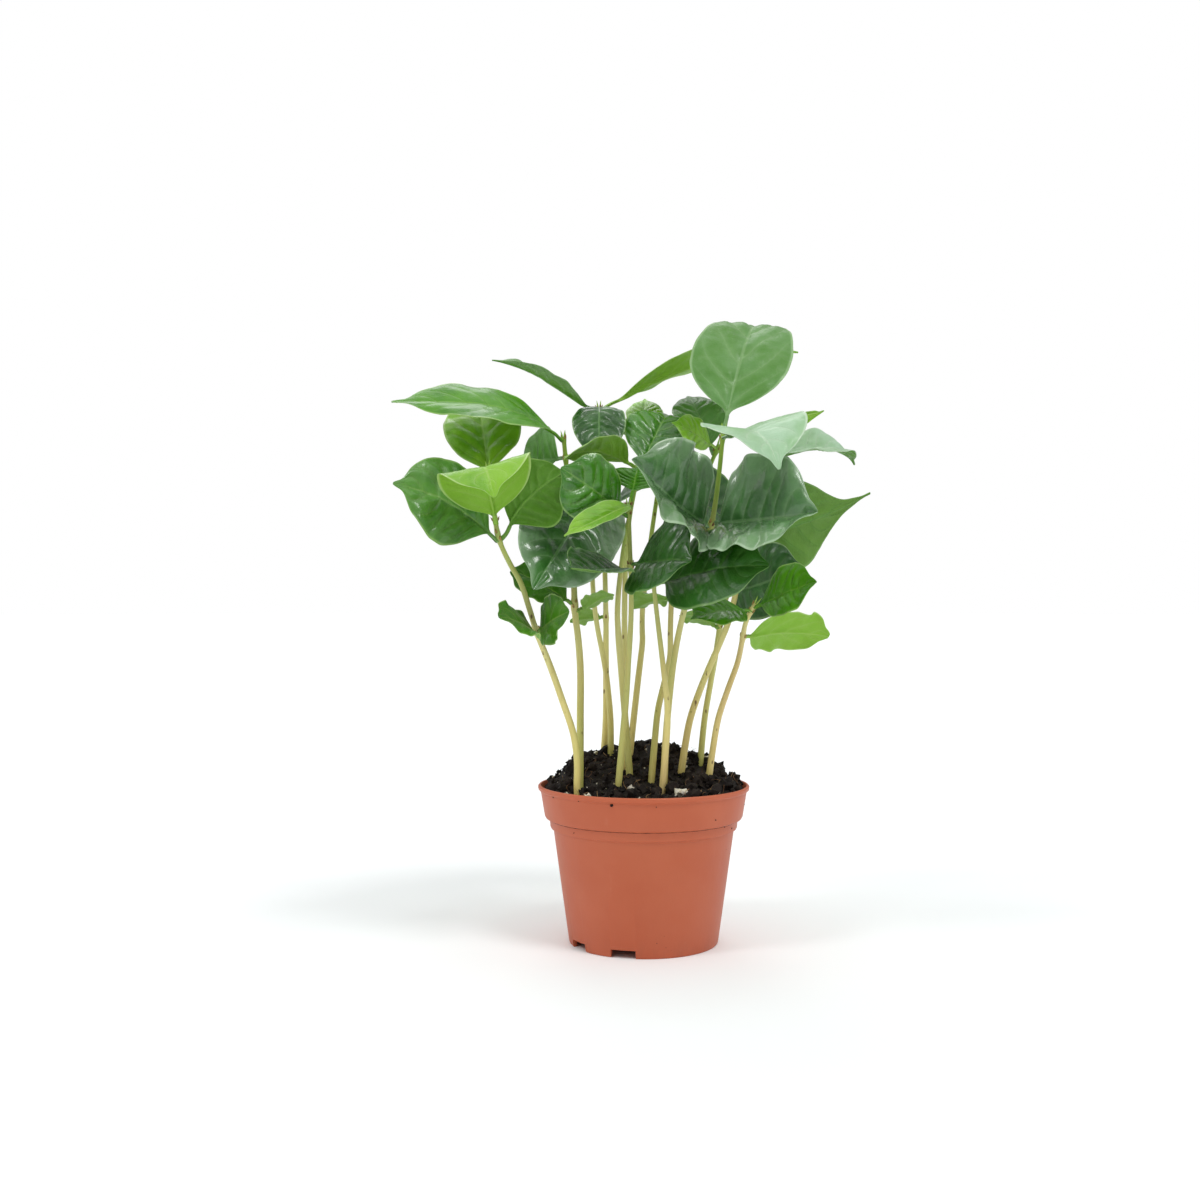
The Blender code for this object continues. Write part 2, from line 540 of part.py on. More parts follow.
def make_leaf(name, material, stem, node, tip, breadth, face, bow=None, lift=14, droop=14,
              reach=0.36, fold=10, curl=-8, wave=0.5, twist=0, seed=False, stalk=None,
              outline=TRUE_LEAF_OUTLINE, slot=None):
    """A leaf on its stalk, from just off its stem to its tip."""
    centre, radius = stem_at(stem, node)
    tip = Vector(tip)
    face = Vector(face).normalized()
    bow = Vector(bow).normalized() if bow else face
    bare = midrib_curve(centre, tip, bow, lift, droop, reach)
    leaving = (bare(0.04) - bare(0)).normalized()
    steep = abs(leaving.z)
    start = centre + leaving * (radius + 2 * CLEARANCE + PETIOLE_RADIUS * 1.6 * steep
                                ) / max(0.35, math.sqrt(1 - steep * steep))
    curve = midrib_curve(start, tip, bow, lift, droop, reach)
    if seed:
        outline = SEED_LEAF_OUTLINE
    stalk = stalk or (SEED_LEAF_STALK if seed else TRUE_LEAF_STALK)
    shares = [0, stalk * 0.5] + [stalk + (1 - stalk) * v for v, _ in outline]
    points = [curve(u) for u in shares]
    tangents, normals = carried_normals(points, face)
    shape = bmesh.new()
    loops = []
    for k, (u, middle, tangent, normal) in enumerate(zip(shares, points, tangents, normals)):
        normal = Quaternion(tangent, math.radians(twist * (u - 0.5))) @ normal
        side = tangent.cross(normal)
        if k < 2:
            ring = petiole_section(middle, side, normal, PETIOLE_RADIUS)
        else:
            along, share = outline[k - 2]
            ripple = wave * math.sin(math.tau * 1.6 * along) * share
            thin = LEAF_THICKNESS * min(1, 0.35 + share)
            rib = MIDRIB_THICKNESS * (1.15 - 0.75 * along)
            ring = leaf_section(middle, side, normal, breadth / 2 * share, fold, curl,
                                ripple, thin, rib)
        loops.append([shape.verts.new(p) for p in ring])
    for ring, following in zip(loops, loops[1:]):
        skin_between(shape, ring, following)
    shape.faces.new(loops[0])
    shape.faces.new(loops[-1])
    return object_from_bmesh(name, shape, material)


def leaf_slot(leaf):
    if leaf.get("slot"):
        return leaf["slot"]
    return "seed_leaf" if leaf.get("seed") else "leaf_mature"


def main():
    clear_scene()
    materials = make_materials()
    make_pot(materials["pot_plastic"])
    make_soil(materials["soil"])
    for name, points in SEEDLINGS.items():
        make_stem(name, points, materials["stem"])
    for name, leaf in LEAVES.items():
        make_leaf(name, materials[leaf_slot(leaf)], **leaf)


main()
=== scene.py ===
"""Looks of the potted coffee plant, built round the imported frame.

The pot, the soil and every stem and leaf are modelled here as fine meshes in the places of their
CAD nodes. Sizes are in metres. Each leaf and stem is a sheet rolled round the section rings of
its own node, so it keeps that node's place, length and breadth.
"""
import math
import re

import bmesh
import bpy
import numpy as np
from mathutils import Euler, Matrix, Vector
from mathutils.bvhtree import BVHTree
from mathutils.noise import fractal, noise


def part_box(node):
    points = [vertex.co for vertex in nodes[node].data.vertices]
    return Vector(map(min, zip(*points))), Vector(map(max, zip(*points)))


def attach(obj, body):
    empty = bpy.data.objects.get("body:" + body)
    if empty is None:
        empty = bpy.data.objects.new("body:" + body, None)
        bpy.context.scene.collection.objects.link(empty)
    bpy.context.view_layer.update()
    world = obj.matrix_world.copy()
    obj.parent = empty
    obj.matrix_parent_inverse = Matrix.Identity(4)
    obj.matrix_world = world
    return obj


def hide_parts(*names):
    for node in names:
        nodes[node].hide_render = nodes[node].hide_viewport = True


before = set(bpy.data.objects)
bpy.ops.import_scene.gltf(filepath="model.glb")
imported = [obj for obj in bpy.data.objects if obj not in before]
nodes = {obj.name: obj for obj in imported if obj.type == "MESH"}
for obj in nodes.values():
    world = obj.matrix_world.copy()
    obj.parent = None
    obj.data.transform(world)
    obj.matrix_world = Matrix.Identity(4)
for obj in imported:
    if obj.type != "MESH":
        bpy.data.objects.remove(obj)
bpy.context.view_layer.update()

MM = 0.001
leaf_nodes = sorted(name for name in nodes if "leaf" in name)
stem_nodes = sorted(name for name in nodes if name.startswith("stem"))
pot_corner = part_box("grow_pot")[1]      # its x is the rim's radius and its z the rim's height

FLAT_TILT = 0.003                  # largest angle within a node's flat end, in radians

# Leaves. A share is of a blade's length, or of the way from its midrib to its margin.
LEAF_EDGE = 0.16 * MM              # thickness of a leaf at its margin
LEAF_BODY = 0.34 * MM              # and in its blade
MIDRIB_DEPTH = 0.80 * MM           # how far the midrib stands out below, at the leaf's base
MIDRIB_HALF = 0.75 * MM            # its half width there
MIDRIB_NARROWS = 0.65              # how much narrower it is at the tip
MIDRIB_FADES = 0.85                # and how much flatter
MIDRIB_CHANNEL = 0.35 * MM         # depth of the channel over the midrib
MIDRIB_CHANNEL_HALF = 0.9 * MM     # and its half width
SIDE_VEIN_DEPTH = 0.18 * MM        # how far a side vein stands out below
STALK_SINK = 0.5 * MM              # how far a stalk's foot reaches into its stem
STALK_SWELL = 0.4                  # how much thicker the stalk is at its foot
STALK_DEPTH = 1.3                  # its depth above the foot, against the midrib's
STALK_BEND = 0.6                   # how far back it bends, against its way to the stem
STALK_STEPS = 6                    # sections from the first ring to the blade
FOOT_STEPS = 5                     # and from the stem's skin to the first ring
FULL_RELIEF_WIDTH = 12 * MM        # half width of a blade that has its relief in full
CRINKLE = 0.55 * MM                # the small swellings of a blade
CRINKLE_SCALES = (130, 330)        # how closely they lie, coarse and fine, per metre
CALM_BASE = 0.22                   # share of the blade at its base where the relief grows
CALM_TIP = 0.15                    # share at its tip where the margin's waves die down
STALK_JOIN = 0.04                  # share over which the stalk turns into the blade
DRIP_TIP = (0.93, 0.06, 0.3)       # the narrowing before the tip: its place, length and amount
PANE_INNER = 0.22                  # share at the midrib where the panes between veins rise
PANE_OUTER = 0.25                  # share at the margin where they sink again
THIN_MARGIN = 0.25                 # share at the margin where the blade thins
VEIN_SWEEP = 1.15                  # how far a side vein runs forward on its way out, in vein gaps
VEIN_ARCH = 0.75                   # and how much it bends forward near the margin
VEIN_STAGGER = 0.22                # one half's veins start a little further on
VEIN_UNEVEN = 0.16                 # how unevenly the veins are spaced, in vein gaps

# Stems
STEM_SIDES = 24
STEM_RINGS = 150
NODE_SWELL = 0.28 * MM             # how much thicker a stem is where its leaves join
NODE_REACH = 1.6 * MM              # and over what length
SCALE_LEAN = 24                    # of the scales at a node, in degrees from the stem
BUD_LEAN = 9                       # and of the two halves of an end bud
SCALE_SIZE = (2.2 * MM, 0.8 * MM)  # length and half width
SCALE_SINK = 0.3 * MM              # how far below the node a scale starts
BUD_SIZE = (4.4 * MM, 0.8 * MM)
BUD_SINK = 0.8 * MM                # how far below the stem's tip a bud starts
BUD_APART = 0.25 * MM              # each half from the stem's middle

# Pot
NECK_STEP = 6.1 * MM               # from the rim's edge in to the neck
SHOULDER_DROP = 18.2 * MM          # from the rim's top down to the foot of the small step
BAND_DROP = 13.6 * MM              # and down to the foot of the rim band
POT_FOOT = 31.8 * MM               # radius of its foot
POT_RECESS = 3.6 * MM              # height of its floor's underside
POT_WALL = 1.0 * MM
POT_TURNS = 160                    # sides of the turned shell
MOULDED_EDGE = 0.25 * MM           # rounding of its edges
NOTCH_AZIMUTHS = (-107, -150, 73, 30)   # of its drain notches, in degrees from +X
NOTCH_SIZE = (12 * MM, 10.5 * MM, 6.8 * MM)   # inwards, across, and twice their height
HOLES = 4                          # in its floor
HOLE_RADIUS = 3 * MM
HOLE_RING = 20 * MM                # how far out they stand

# Soil, and how many of each thing lie on it
BED_MARGIN = 2.4 * MM              # from the rim in to the bed's edge
BED_GRID = 1.0 * MM                # size of the bed's faces
BED_SURFACE_DEPTH = 8 * MM         # how far below the rim the bed is roughened
DROP_HEIGHT = 0.12                 # over the bed, from where things fall on it
CLOD_SHAPES = 8                    # lumps, also for the grains and crumbs
CLOD_SQUASH = 0.75
FINE_CLODS = 620
COARSE_CLODS = 60
SMALL_GRAINS = 110
FIBRE_SHAPES = 6
FIBRES = 130
FIBRE_RADIUS = 0.017               # of a fibre one unit long
FIBRE_RINGS = 9
FIBRE_SIDES = 5
RIM_CRUMBS = 16

# The soil's largest white grains: x, y and radius in millimetres
LARGE_GRAINS = (
    (14, -29, 2.5), (-24, -33, 1.7), (-16, -36, 1.2), (-3, -38, 1.3), (-6, -27, 1.5),
    (-34, -16, 1.3), (22, -33, 1.0), (5, -34, 0.9), (30, -22, 1.1), (-12, -31, 0.9),
    (10, 22, 1.6), (-20, 26, 1.4), (28, 14, 1.5),
)

# The studio's far soft lamps: name, direction, how wide each looks in degrees, and its light
STUDIO_LAMPS = (
    ("right_lamp", (0.40, -0.50, 1.0), 17, 0.85),
    ("left_lamp", (-0.75, -0.50, 0.9), 13, 0.42),
    ("back_lamp", (-0.10, 0.80, 0.9), 26, 0.30),
)
DOME_LOW = 0.34                    # the white dome's light at the horizon
DOME_RISE = 0.56                   # and how much more comes from overhead
FLOOR_RADIUS = 14
FLOOR_COLOUR = (0.955, 0.985, 0.99, 1)
CAMERA_PLACE = (-0.0186, -0.5986, 0.1456)
CAMERA_LENS = 42                   # in millimetres, on a sensor of this width
SENSOR_WIDTH = 36


# ---------------------------------------------------------------- shader expressions

class Reading:
    """A shader socket that Python's operators work on: each one adds its Math node."""

    def __init__(self, finish, socket):
        self.finish = finish
        self.socket = socket

    def __add__(self, other):
        return self.finish.math("ADD", self, other)

    def __sub__(self, other):
        return self.finish.math("SUBTRACT", self, other)

    def __rsub__(self, other):
        return self.finish.math("SUBTRACT", other, self)

    def __mul__(self, other):
        return self.finish.math("MULTIPLY", self, other)

    def __pow__(self, other):
        return self.finish.math("POWER", self, other)

    def __mod__(self, other):
        return self.finish.math("FLOORED_MODULO", self, other)

    def __abs__(self):
        return self.finish.math("ABSOLUTE", self)

    __radd__ = __add__
    __rmul__ = __mul__

    def between(self, low, high):
        """0 below low, 1 above high and a smooth rise between them; low may be the larger."""
        return self.finish.node("MapRange", {0: self, 1: low, 2: high},
                                {"interpolation_type": "SMOOTHSTEP"})


class Workings:
    """A tree of shader nodes that expressions add to."""

    def __init__(self, tree):
        self.tree = tree

    def node(self, kind, sockets=None, settings=None, output=0):
        """Add a node, set it up, fill its sockets and hand back one of its outputs."""
        made = self.tree.nodes.new("ShaderNode" + kind)
        for setting, value in (settings or {}).items():
            setattr(made, setting, value)
        for name, value in (sockets or {}).items():
            self.fill(made.inputs[name], value)
        return Reading(self, made.outputs[output])

    def fill(self, socket, value):
        """Link another node's output to the socket, or give it a plain value."""
        if isinstance(value, Reading):
            self.tree.links.new(value.socket, socket)
        else:
            socket.default_value = value

    def math(self, operation, *values):
        return self.node("Math", dict(enumerate(values)), {"operation": operation})

    def blend(self, share, first, second):
        """The first colour where share is 0, the second where it is 1."""
        return self.node("Mix", {0: share, 6: first, 7: second}, {"data_type": "RGBA"}, output=2)


class Finish(Workings):
    """A Principled material put together from expressions."""

    def __init__(self, name, **constants):
        self.material = bpy.data.materials.new(name)
        self.material.use_nodes = True
        super().__init__(self.material.node_tree)
        self.skin = self.tree.nodes["Principled BSDF"]
        self.set(**constants)

    def place(self):
        """The place on the object, in metres."""
        return self.node("TexCoord", output=3)

    def stretched(self, x, y, z):
        """The place on the object with each axis scaled."""
        return self.node("VectorMath", {0: self.place(), 1: (x, y, z)},
                         {"operation": "MULTIPLY"})

    def cloud(self, scale, detail=3.0, roughness=0.5, place=None):
        """Soft noise about 0.5."""
        return self.node("TexNoise", {"Vector": place or self.place(), "Scale": scale,
                                      "Detail": detail, "Roughness": roughness})

    def cells(self, scale, place=None, feature="F1"):
        """Distance from the middle of the nearest cell, or from its edge."""
        return self.node("TexVoronoi", {"Vector": place or self.place(), "Scale": scale},
                         {"feature": feature})

    def bump(self, height, distance, strength):
        self.fill(self.skin.inputs["Normal"],
                  self.node("Bump", {"Height": height, "Distance": distance,
                                     "Strength": strength}))

    def set(self, **values):
        """Fill sockets of the Principled node, named with _ for each space."""
        for socket, value in values.items():
            self.fill(self.skin.inputs[socket.replace("_", " ")], value)
        return self.material


def paint(red, green, blue):
    """A colour from the 0 to 255 steps of a paint chart, as linear light."""
    steps = [v / 255 for v in (red, green, blue)]
    linear = [v / 12.92 if v <= 0.04045 else ((v + 0.055) / 1.055) ** 2.4 for v in steps]
    return (*linear, 1.0)


# ---------------------------------------------------------------- modelling helpers

def nothing_selected():
    if bpy.context.object and bpy.context.object.mode != "OBJECT":
        bpy.ops.object.mode_set(mode="OBJECT")
    bpy.ops.object.select_all(action="DESELECT")


def only(piece):
    nothing_selected()
    piece.select_set(True)
    bpy.context.view_layer.objects.active = piece


def smoothed(piece, degrees):
    only(piece)
    bpy.ops.object.shade_smooth_by_angle(angle=math.radians(degrees))


def placed(piece, node):
    """The piece rides on the plant's one body and stands for its CAD node, if it has one."""
    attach(piece, "root")
    if node:
        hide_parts(node)
    return piece


def rolled_sheet(name, rings, uv, face_finish, materials, smooth=40):
    """A flat grid rolled into a tube along rings of points, its seam merged and its ends shut.

    rings is stations x points x 3, uv is stations x (points + 1) x 2 and face_finish gives the
    material number of each strip round the tube.
    """
    stations, round_points = rings.shape[:2]
    nothing_selected()
    bpy.ops.mesh.primitive_grid_add(x_subdivisions=round_points, y_subdivisions=stations - 1,
                                    size=1)
    piece = bpy.context.object
    piece.name = piece.data.name = name
    mesh = piece.data
    rolled = np.concatenate([rings, rings[:, :1]], axis=1)
    mesh.vertices.foreach_set("co", rolled.reshape(-1).astype(np.float32))
    corner = np.zeros(len(mesh.loops), np.int32)
    mesh.loops.foreach_get("vertex_index", corner)
    mesh.uv_layers[0].data.foreach_set("uv", uv.reshape(-1, 2)[corner].reshape(-1)
                                       .astype(np.float32))
    mesh.polygons.foreach_set("material_index", np.tile(face_finish, stations - 1)
                              .astype(np.int32))
    for material in materials:
        mesh.materials.append(material)
    mesh.update()
    bpy.ops.object.mode_set(mode="EDIT")
    bpy.ops.mesh.select_all(action="SELECT")
    bpy.ops.mesh.remove_doubles(threshold=1e-7)
    bpy.ops.mesh.select_all(action="DESELECT")
    bpy.ops.mesh.select_non_manifold()
    bpy.ops.mesh.fill_holes(sides=0)
    bpy.ops.mesh.select_all(action="SELECT")
    bpy.ops.mesh.normals_make_consistent(inside=False)
    bpy.ops.object.mode_set(mode="OBJECT")
    smoothed(piece, smooth)
    return piece


def unit(vectors):
    length = np.linalg.norm(vectors, axis=-1, keepdims=True)
    return vectors / np.maximum(length, 1e-12)


def smooth_through(knots, values, at):
    """Smooth curves through the values that stand at the knots."""
    slopes = np.gradient(values, knots, axis=0)
    k = np.clip(np.searchsorted(knots, at, side="right") - 1, 0, len(knots) - 2)
    flat = (-1,) + (1,) * (values.ndim - 1)
    span = (knots[k + 1] - knots[k]).reshape(flat)
    t = ((at - knots[k]).reshape(flat)) / span
    return ((2 * t ** 3 - 3 * t ** 2 + 1) * values[k] + (t ** 3 - 2 * t ** 2 + t) * span * slopes[k]
            + (3 * t ** 2 - 2 * t ** 3) * values[k + 1] + (t ** 3 - t ** 2) * span * slopes[k + 1])


def length_along(points):
    """How far along the line each of its points lies, from 0 to 1."""
    steps = np.linalg.norm(np.diff(points, axis=0), axis=1)
    total = np.concatenate([[0], np.cumsum(steps)])
    return total / total[-1]


# ---------------------------------------------------------------- reading a node's rings

def flat_ends(shape):
    """The corners of each level patch of six triangles round eight corners: the ends are such."""
    left = set(shape.faces)
    ends = []
    for first in shape.faces:
        if first not in left:
            continue
        left.discard(first)
        group = [first]
        for face in group:
            for edge in face.edges:
                for other in edge.link_faces:
                    tilt = other.normal.angle(face.normal, math.pi)
                    if other in left and tilt < FLAT_TILT:
                        left.discard(other)
                        group.append(other)
        corners = {corner for face in group for corner in face.verts}
        if len(group) == 6 and len(corners) == 8:
            ends.append(corners)
    return ends


def walked(ring):
    """The ring's corners in order, along its edges and never across a flat end."""
    order = [min(ring, key=lambda corner: corner.index)]
    while len(order) < len(ring):
        for edge in order[-1].link_edges:
            other = edge.other_vert(order[-1])
            across = all(ring.issuperset(face.verts) for face in edge.link_faces)
            if other in ring and other not in order and not across:
                order.append(other)
                break
        else:
            raise ValueError("a ring of the node is broken")
    return np.array([corner.co for corner in order], float)


def turned_to_follow(ring, before):
    """The ring started and turned so that its points carry on from the ring before."""
    options = [np.roll(ring[::way], shift, axis=0) for way in (1, -1) for shift in range(len(ring))]
    goal = before - before.mean(axis=0)
    return min(options, key=lambda made: np.square(made - made.mean(axis=0) - goal).sum())


def section_rings(node, starts_near):
    """A stem's or leaf's sections, eight points each, from the end that starts_near ranks first."""
    shape = bmesh.new()
    shape.from_mesh(nodes[node].data)
    bmesh.ops.remove_doubles(shape, verts=shape.verts, dist=1e-6)
    shape.normal_update()
    shape.verts.index_update()
    ring = min(flat_ends(shape), key=lambda corners: starts_near(
        sum((corner.co for corner in corners), Vector()) / len(corners)))
    seen = set(ring)
    rings = []
    while ring:
        made = walked(ring)
        rings.append(turned_to_follow(made, rings[-1]) if rings else made)
        ring = {edge.other_vert(corner) for corner in ring for edge in corner.link_edges} - seen
        seen |= ring
    shape.free()
    return np.array(rings)


def stem_skin(node):
    """The surface of the stem that a leaf stands on."""
    stem = nodes["stem_" + re.search(r"\d\d", node).group()].data
    return BVHTree.FromPolygons([corner.co for corner in stem.vertices],
                                [face.vertices for face in stem.polygons])


def leaf_rings(node):
    """A leaf's rings in one order: margin, half, midrib, half, margin above, then back below."""
    skin = stem_skin(node)
    rings = section_rings(node, lambda point: skin.find_nearest(point)[3])
    widths = [np.linalg.norm(rings[3:, j] - rings[3:, j + 4], axis=1).sum() for j in range(4)]
    rings = np.roll(rings, -int(np.argmax(widths)), axis=1)
    centre = rings[0].mean(axis=0)
    upper_third, lower_third = (np.linalg.norm(rings[0][j] - centre) for j in (2, 6))
    if lower_third < upper_third:
        rings = rings[:, [0, 7, 6, 5, 4, 3, 2, 1]]
    ahead = rings[4, 2] - rings[2, 2]
    up = rings[3, 2] - rings[3, 6]
    if np.dot(np.cross(rings[3, 0] - rings[3, 4], ahead), up) < 0:
        rings = rings[:, [4, 3, 2, 1, 0, 7, 6, 5]]
    return rings


# ---------------------------------------------------------------- leaves

def vein_phase(along, side):
    """Counts side veins: whole numbers lie on a vein. Reads numbers and shader sockets alike."""
    return along - VEIN_SWEEP * side - VEIN_ARCH * side * side


def stalk_foot(first, second, skin):
    """Sections that carry a stalk on from its first ring, in a bend, into the skin of its stem."""
    centre = first.mean(axis=0)
    back = unit((first - second).mean(axis=0))
    away = skin.find_nearest(Vector(centre))[3]
    joint, outward = skin.find_nearest(Vector(centre + back * away))[:2]
    joint = np.array(joint - outward * STALK_SINK)
    bend = centre + back * away * STALK_BEND
    sections = []
    for t in np.linspace(0, 1, FOOT_STEPS, endpoint=False):
        place = joint * (1 - t) ** 2 + 2 * bend * t * (1 - t) + centre * t ** 2
        sections.append(place + (first - centre) * (1 + STALK_SWELL * (1 - t) ** 2))
    return np.array(sections)


def crinkle(sheet, seed):
    """Small uneven swellings of a blade, mostly from -1 to 1."""
    shift = Vector((seed, 3 * seed, 7 * seed))
    coarse, fine = CRINKLE_SCALES
    rough = [noise(Vector(point) * coarse + shift) + 0.5 * noise(Vector(point) * fine + shift)
             for point in sheet.reshape(-1, 3)]
    return np.array(rough).reshape(sheet.shape[:2])


def leaf_sheet(strands, across, u):
    """The blade's mid sheet, bent through its margins, halves and midrib, and its normals."""
    left = across < 0
    middle, near, edge = (np.where(left[None, :, None], strands[:, None, a], strands[:, None, b])
                          for a, b in ((2, 2), (1, 3), (0, 4)))
    place, length, amount = DRIP_TIP
    taper = 1 - amount * np.exp(-((u - place) / length) ** 2)
    a = np.abs(across)[None, :, None] * taper[:, :, None]
    sheet = (1 - a) * (1 - 2 * a) * middle + 4 * a * (1 - a) * near + a * (2 * a - 1) * edge
    ahead = np.gradient(sheet, axis=0)
    out = np.gradient(sheet, across, axis=1)
    return sheet, unit(np.cross(-out, ahead))


def leaf_blade(name, node, upper, under, pairs=7, quilt=0.8, ruffle=0.5, stations=84, half=15,
               seed=0):
    """A leaf with its stalk: recessed veins, raised panes between them and a waved margin.

    pairs counts the side veins, quilt and ruffle are the heights of the panes and the waves in
    millimetres, and half is the number of strips from the midrib to the margin.
    """
    rings = leaf_rings(node)
    top = rings[:, :5]
    knots = length_along(top[:, 2])
    base = knots[2]
    stalk = np.linspace(0, base, STALK_STEPS, endpoint=False)
    along = np.concatenate([stalk, base + (1 - base) * np.linspace(0, 1, stations)])
    strands = smooth_through(knots, top, along)
    step = np.linspace(-1, 1, 2 * half + 1)
    across = np.sign(step) * np.abs(step) ** 1.5
    side = np.abs(across)[None, :]
    u = np.clip((along - base) / (1 - base), 0, 1)[:, None]
    sheet, normal = leaf_sheet(strands, across, u)
    half_width = np.linalg.norm(strands[:, 4] - strands[:, 0], axis=1)[:, None] / 2

    waves = np.random.default_rng(seed)
    first, second = waves.uniform(0, math.tau, 2)
    spaced = u * pairs + VEIN_UNEVEN * np.sin(2.3 * u * pairs + first) * np.sin(np.pi * u)
    stagger = np.where(across > 0, VEIN_STAGGER, 0)
    gap = np.abs(vein_phase(spaced + stagger[None, :], side) % 1 - 0.5) * 2
    grown = np.clip(half_width / FULL_RELIEF_WIDTH, 0, 1)
    field = np.clip(side / PANE_INNER, 0, 1) ** 1.2 * np.clip((1 - side) / PANE_OUTER, 0, 1)
    pane = (1 - gap ** 3) * field * np.sin(np.pi * np.clip(u, 0, 1)) ** 0.5
    ripple = (np.sin(math.tau * (2.1 * u + 0.15 * across[None, :]) + first)
              + 0.6 * np.sin(math.tau * (4.3 * u - 0.1 * across[None, :]) + second))
    blade = np.clip(u / STALK_JOIN, 0, 1)
    calm = np.clip(u / CALM_BASE, 0, 1) ** 1.5
    relief = quilt * MM * pane * grown
    relief += crinkle(sheet, seed) * CRINKLE * (grown * (0.3 + quilt) * calm)
    relief += (ruffle * MM * ripple * side ** 2 * grown * calm
               * np.clip((1 - u) / CALM_TIP, 0, 1))
    channel = np.exp(-(side * half_width / MIDRIB_CHANNEL_HALF) ** 2)
    relief -= MIDRIB_CHANNEL * channel * blade * (1 - u)
    upper_side = sheet + normal * relief[:, :, None]

    rib_half = MIDRIB_HALF * (1 - MIDRIB_NARROWS * u)
    rib = np.sqrt(np.clip(1 - (side * half_width / rib_half) ** 2, 0, 1))
    depth = MIDRIB_DEPTH * (STALK_DEPTH * (1 - blade) + blade * (1 - MIDRIB_FADES * u))
    full = np.clip((1 - side) / THIN_MARGIN, 0, 1)
    body = LEAF_EDGE + (LEAF_BODY - LEAF_EDGE) * full * blade
    lower_vein = SIDE_VEIN_DEPTH * np.clip(gap, 0, 1) ** 10 * field * blade
    lower_side = upper_side - normal * (body + depth * rib + lower_vein)[:, :, None]

    ring = np.concatenate([upper_side, lower_side[:, ::-1]], axis=1)
    ring = np.concatenate([stalk_foot(ring[0], ring[1], stem_skin(node)), ring])
    vein_count = np.concatenate([np.full(FOOT_STEPS, -0.5),
                                 np.where(along < base, along / base - 1, spaced[:, 0])])
    uv = np.zeros((len(ring), 2 * len(across) + 1, 2))
    uv[:, :, 0] = vein_count[:, None] + np.concatenate([stagger, stagger[::-1], stagger[:1]])
    uv[:, :, 1] = np.concatenate([across, across[::-1], across[:1]])
    face_finish = np.zeros(2 * len(across))
    face_finish[len(across) - 1:] = 1
    return rolled_sheet(name, ring, uv, face_finish, (upper, under), smooth=50)


def leaf_finish(name, blade, shade, vein, rim, under, wax=0.1, gloss=0.34, rough=0.34,
                bands=0.35, painted_sheen=0.0):
    """The two finishes of a leaf: waxy and ribbed above, duller and paler below."""
    # The upper side may carry a painted sheen on its outer part; the lower side has none.
    return (leaf_side(f"{name}_above", blade, shade, vein, rim, wax, gloss, rough, bands, painted_sheen),
            leaf_side(f"{name}_below", under, under, vein, rim, 0.0, 0.22, 0.5, 0.3, 0.0))


def leaf_side(name, blade, shade, vein, rim, wax, gloss, rough, bands, painted_sheen):
    """One side of a leaf. bands is how pale the veins are, and the last argument is a painted
    sheen: how far the outer part is painted pale towards the rim colour.
    """
    skin = Finish(name, Coat_Roughness=0.16, Coat_Weight=wax, Specular_IOR_Level=gloss)
    leaf_map = skin.node("TexCoord", output=2)
    count = skin.node("SeparateXYZ", {0: leaf_map})
    side = abs(skin.node("SeparateXYZ", {0: leaf_map}, output=1))
    gap = abs(vein_phase(count, side) % 1 - 0.5) * 2
    inward = 1 - side ** 3
    ribs = gap ** 14 * inward
    beside = gap ** 3 * inward
    midrib = side.between(0.05, 0.012)
    edge = side.between(0.93, 0.975)
    mottle = skin.cloud(260, 4)
    patch = skin.cloud(60, 3)
    net = skin.cells(900, feature="DISTANCE_TO_EDGE")
    stalk = count.between(0.25, -0.1)
    colour = skin.blend(patch.between(0.35, 0.65), shade, blade)
    colour = skin.blend(beside * bands, colour, vein)
    colour = skin.blend(mottle.between(0.4, 0.75) * 0.15, colour, vein)
    colour = skin.blend(ribs * bands, colour, vein)
    # Painted sheen: the outer part of the blade is painted pale towards the rim colour, standing in
    # for the light's reflection.
    colour = skin.blend(side.between(0.2, 1.0) * painted_sheen, colour, rim)
    colour = skin.blend((midrib + stalk).between(0, 1) * 0.6, colour, vein)
    colour = skin.blend(edge * 0.6, colour, rim)
    skin.bump(mottle * 0.6 + net.between(0, 0.2) * 0.25 - ribs * 0.8, 0.0003, 0.6)
    return skin.set(Base_Color=colour, Roughness=patch * 0.24 + (rough - 0.12))


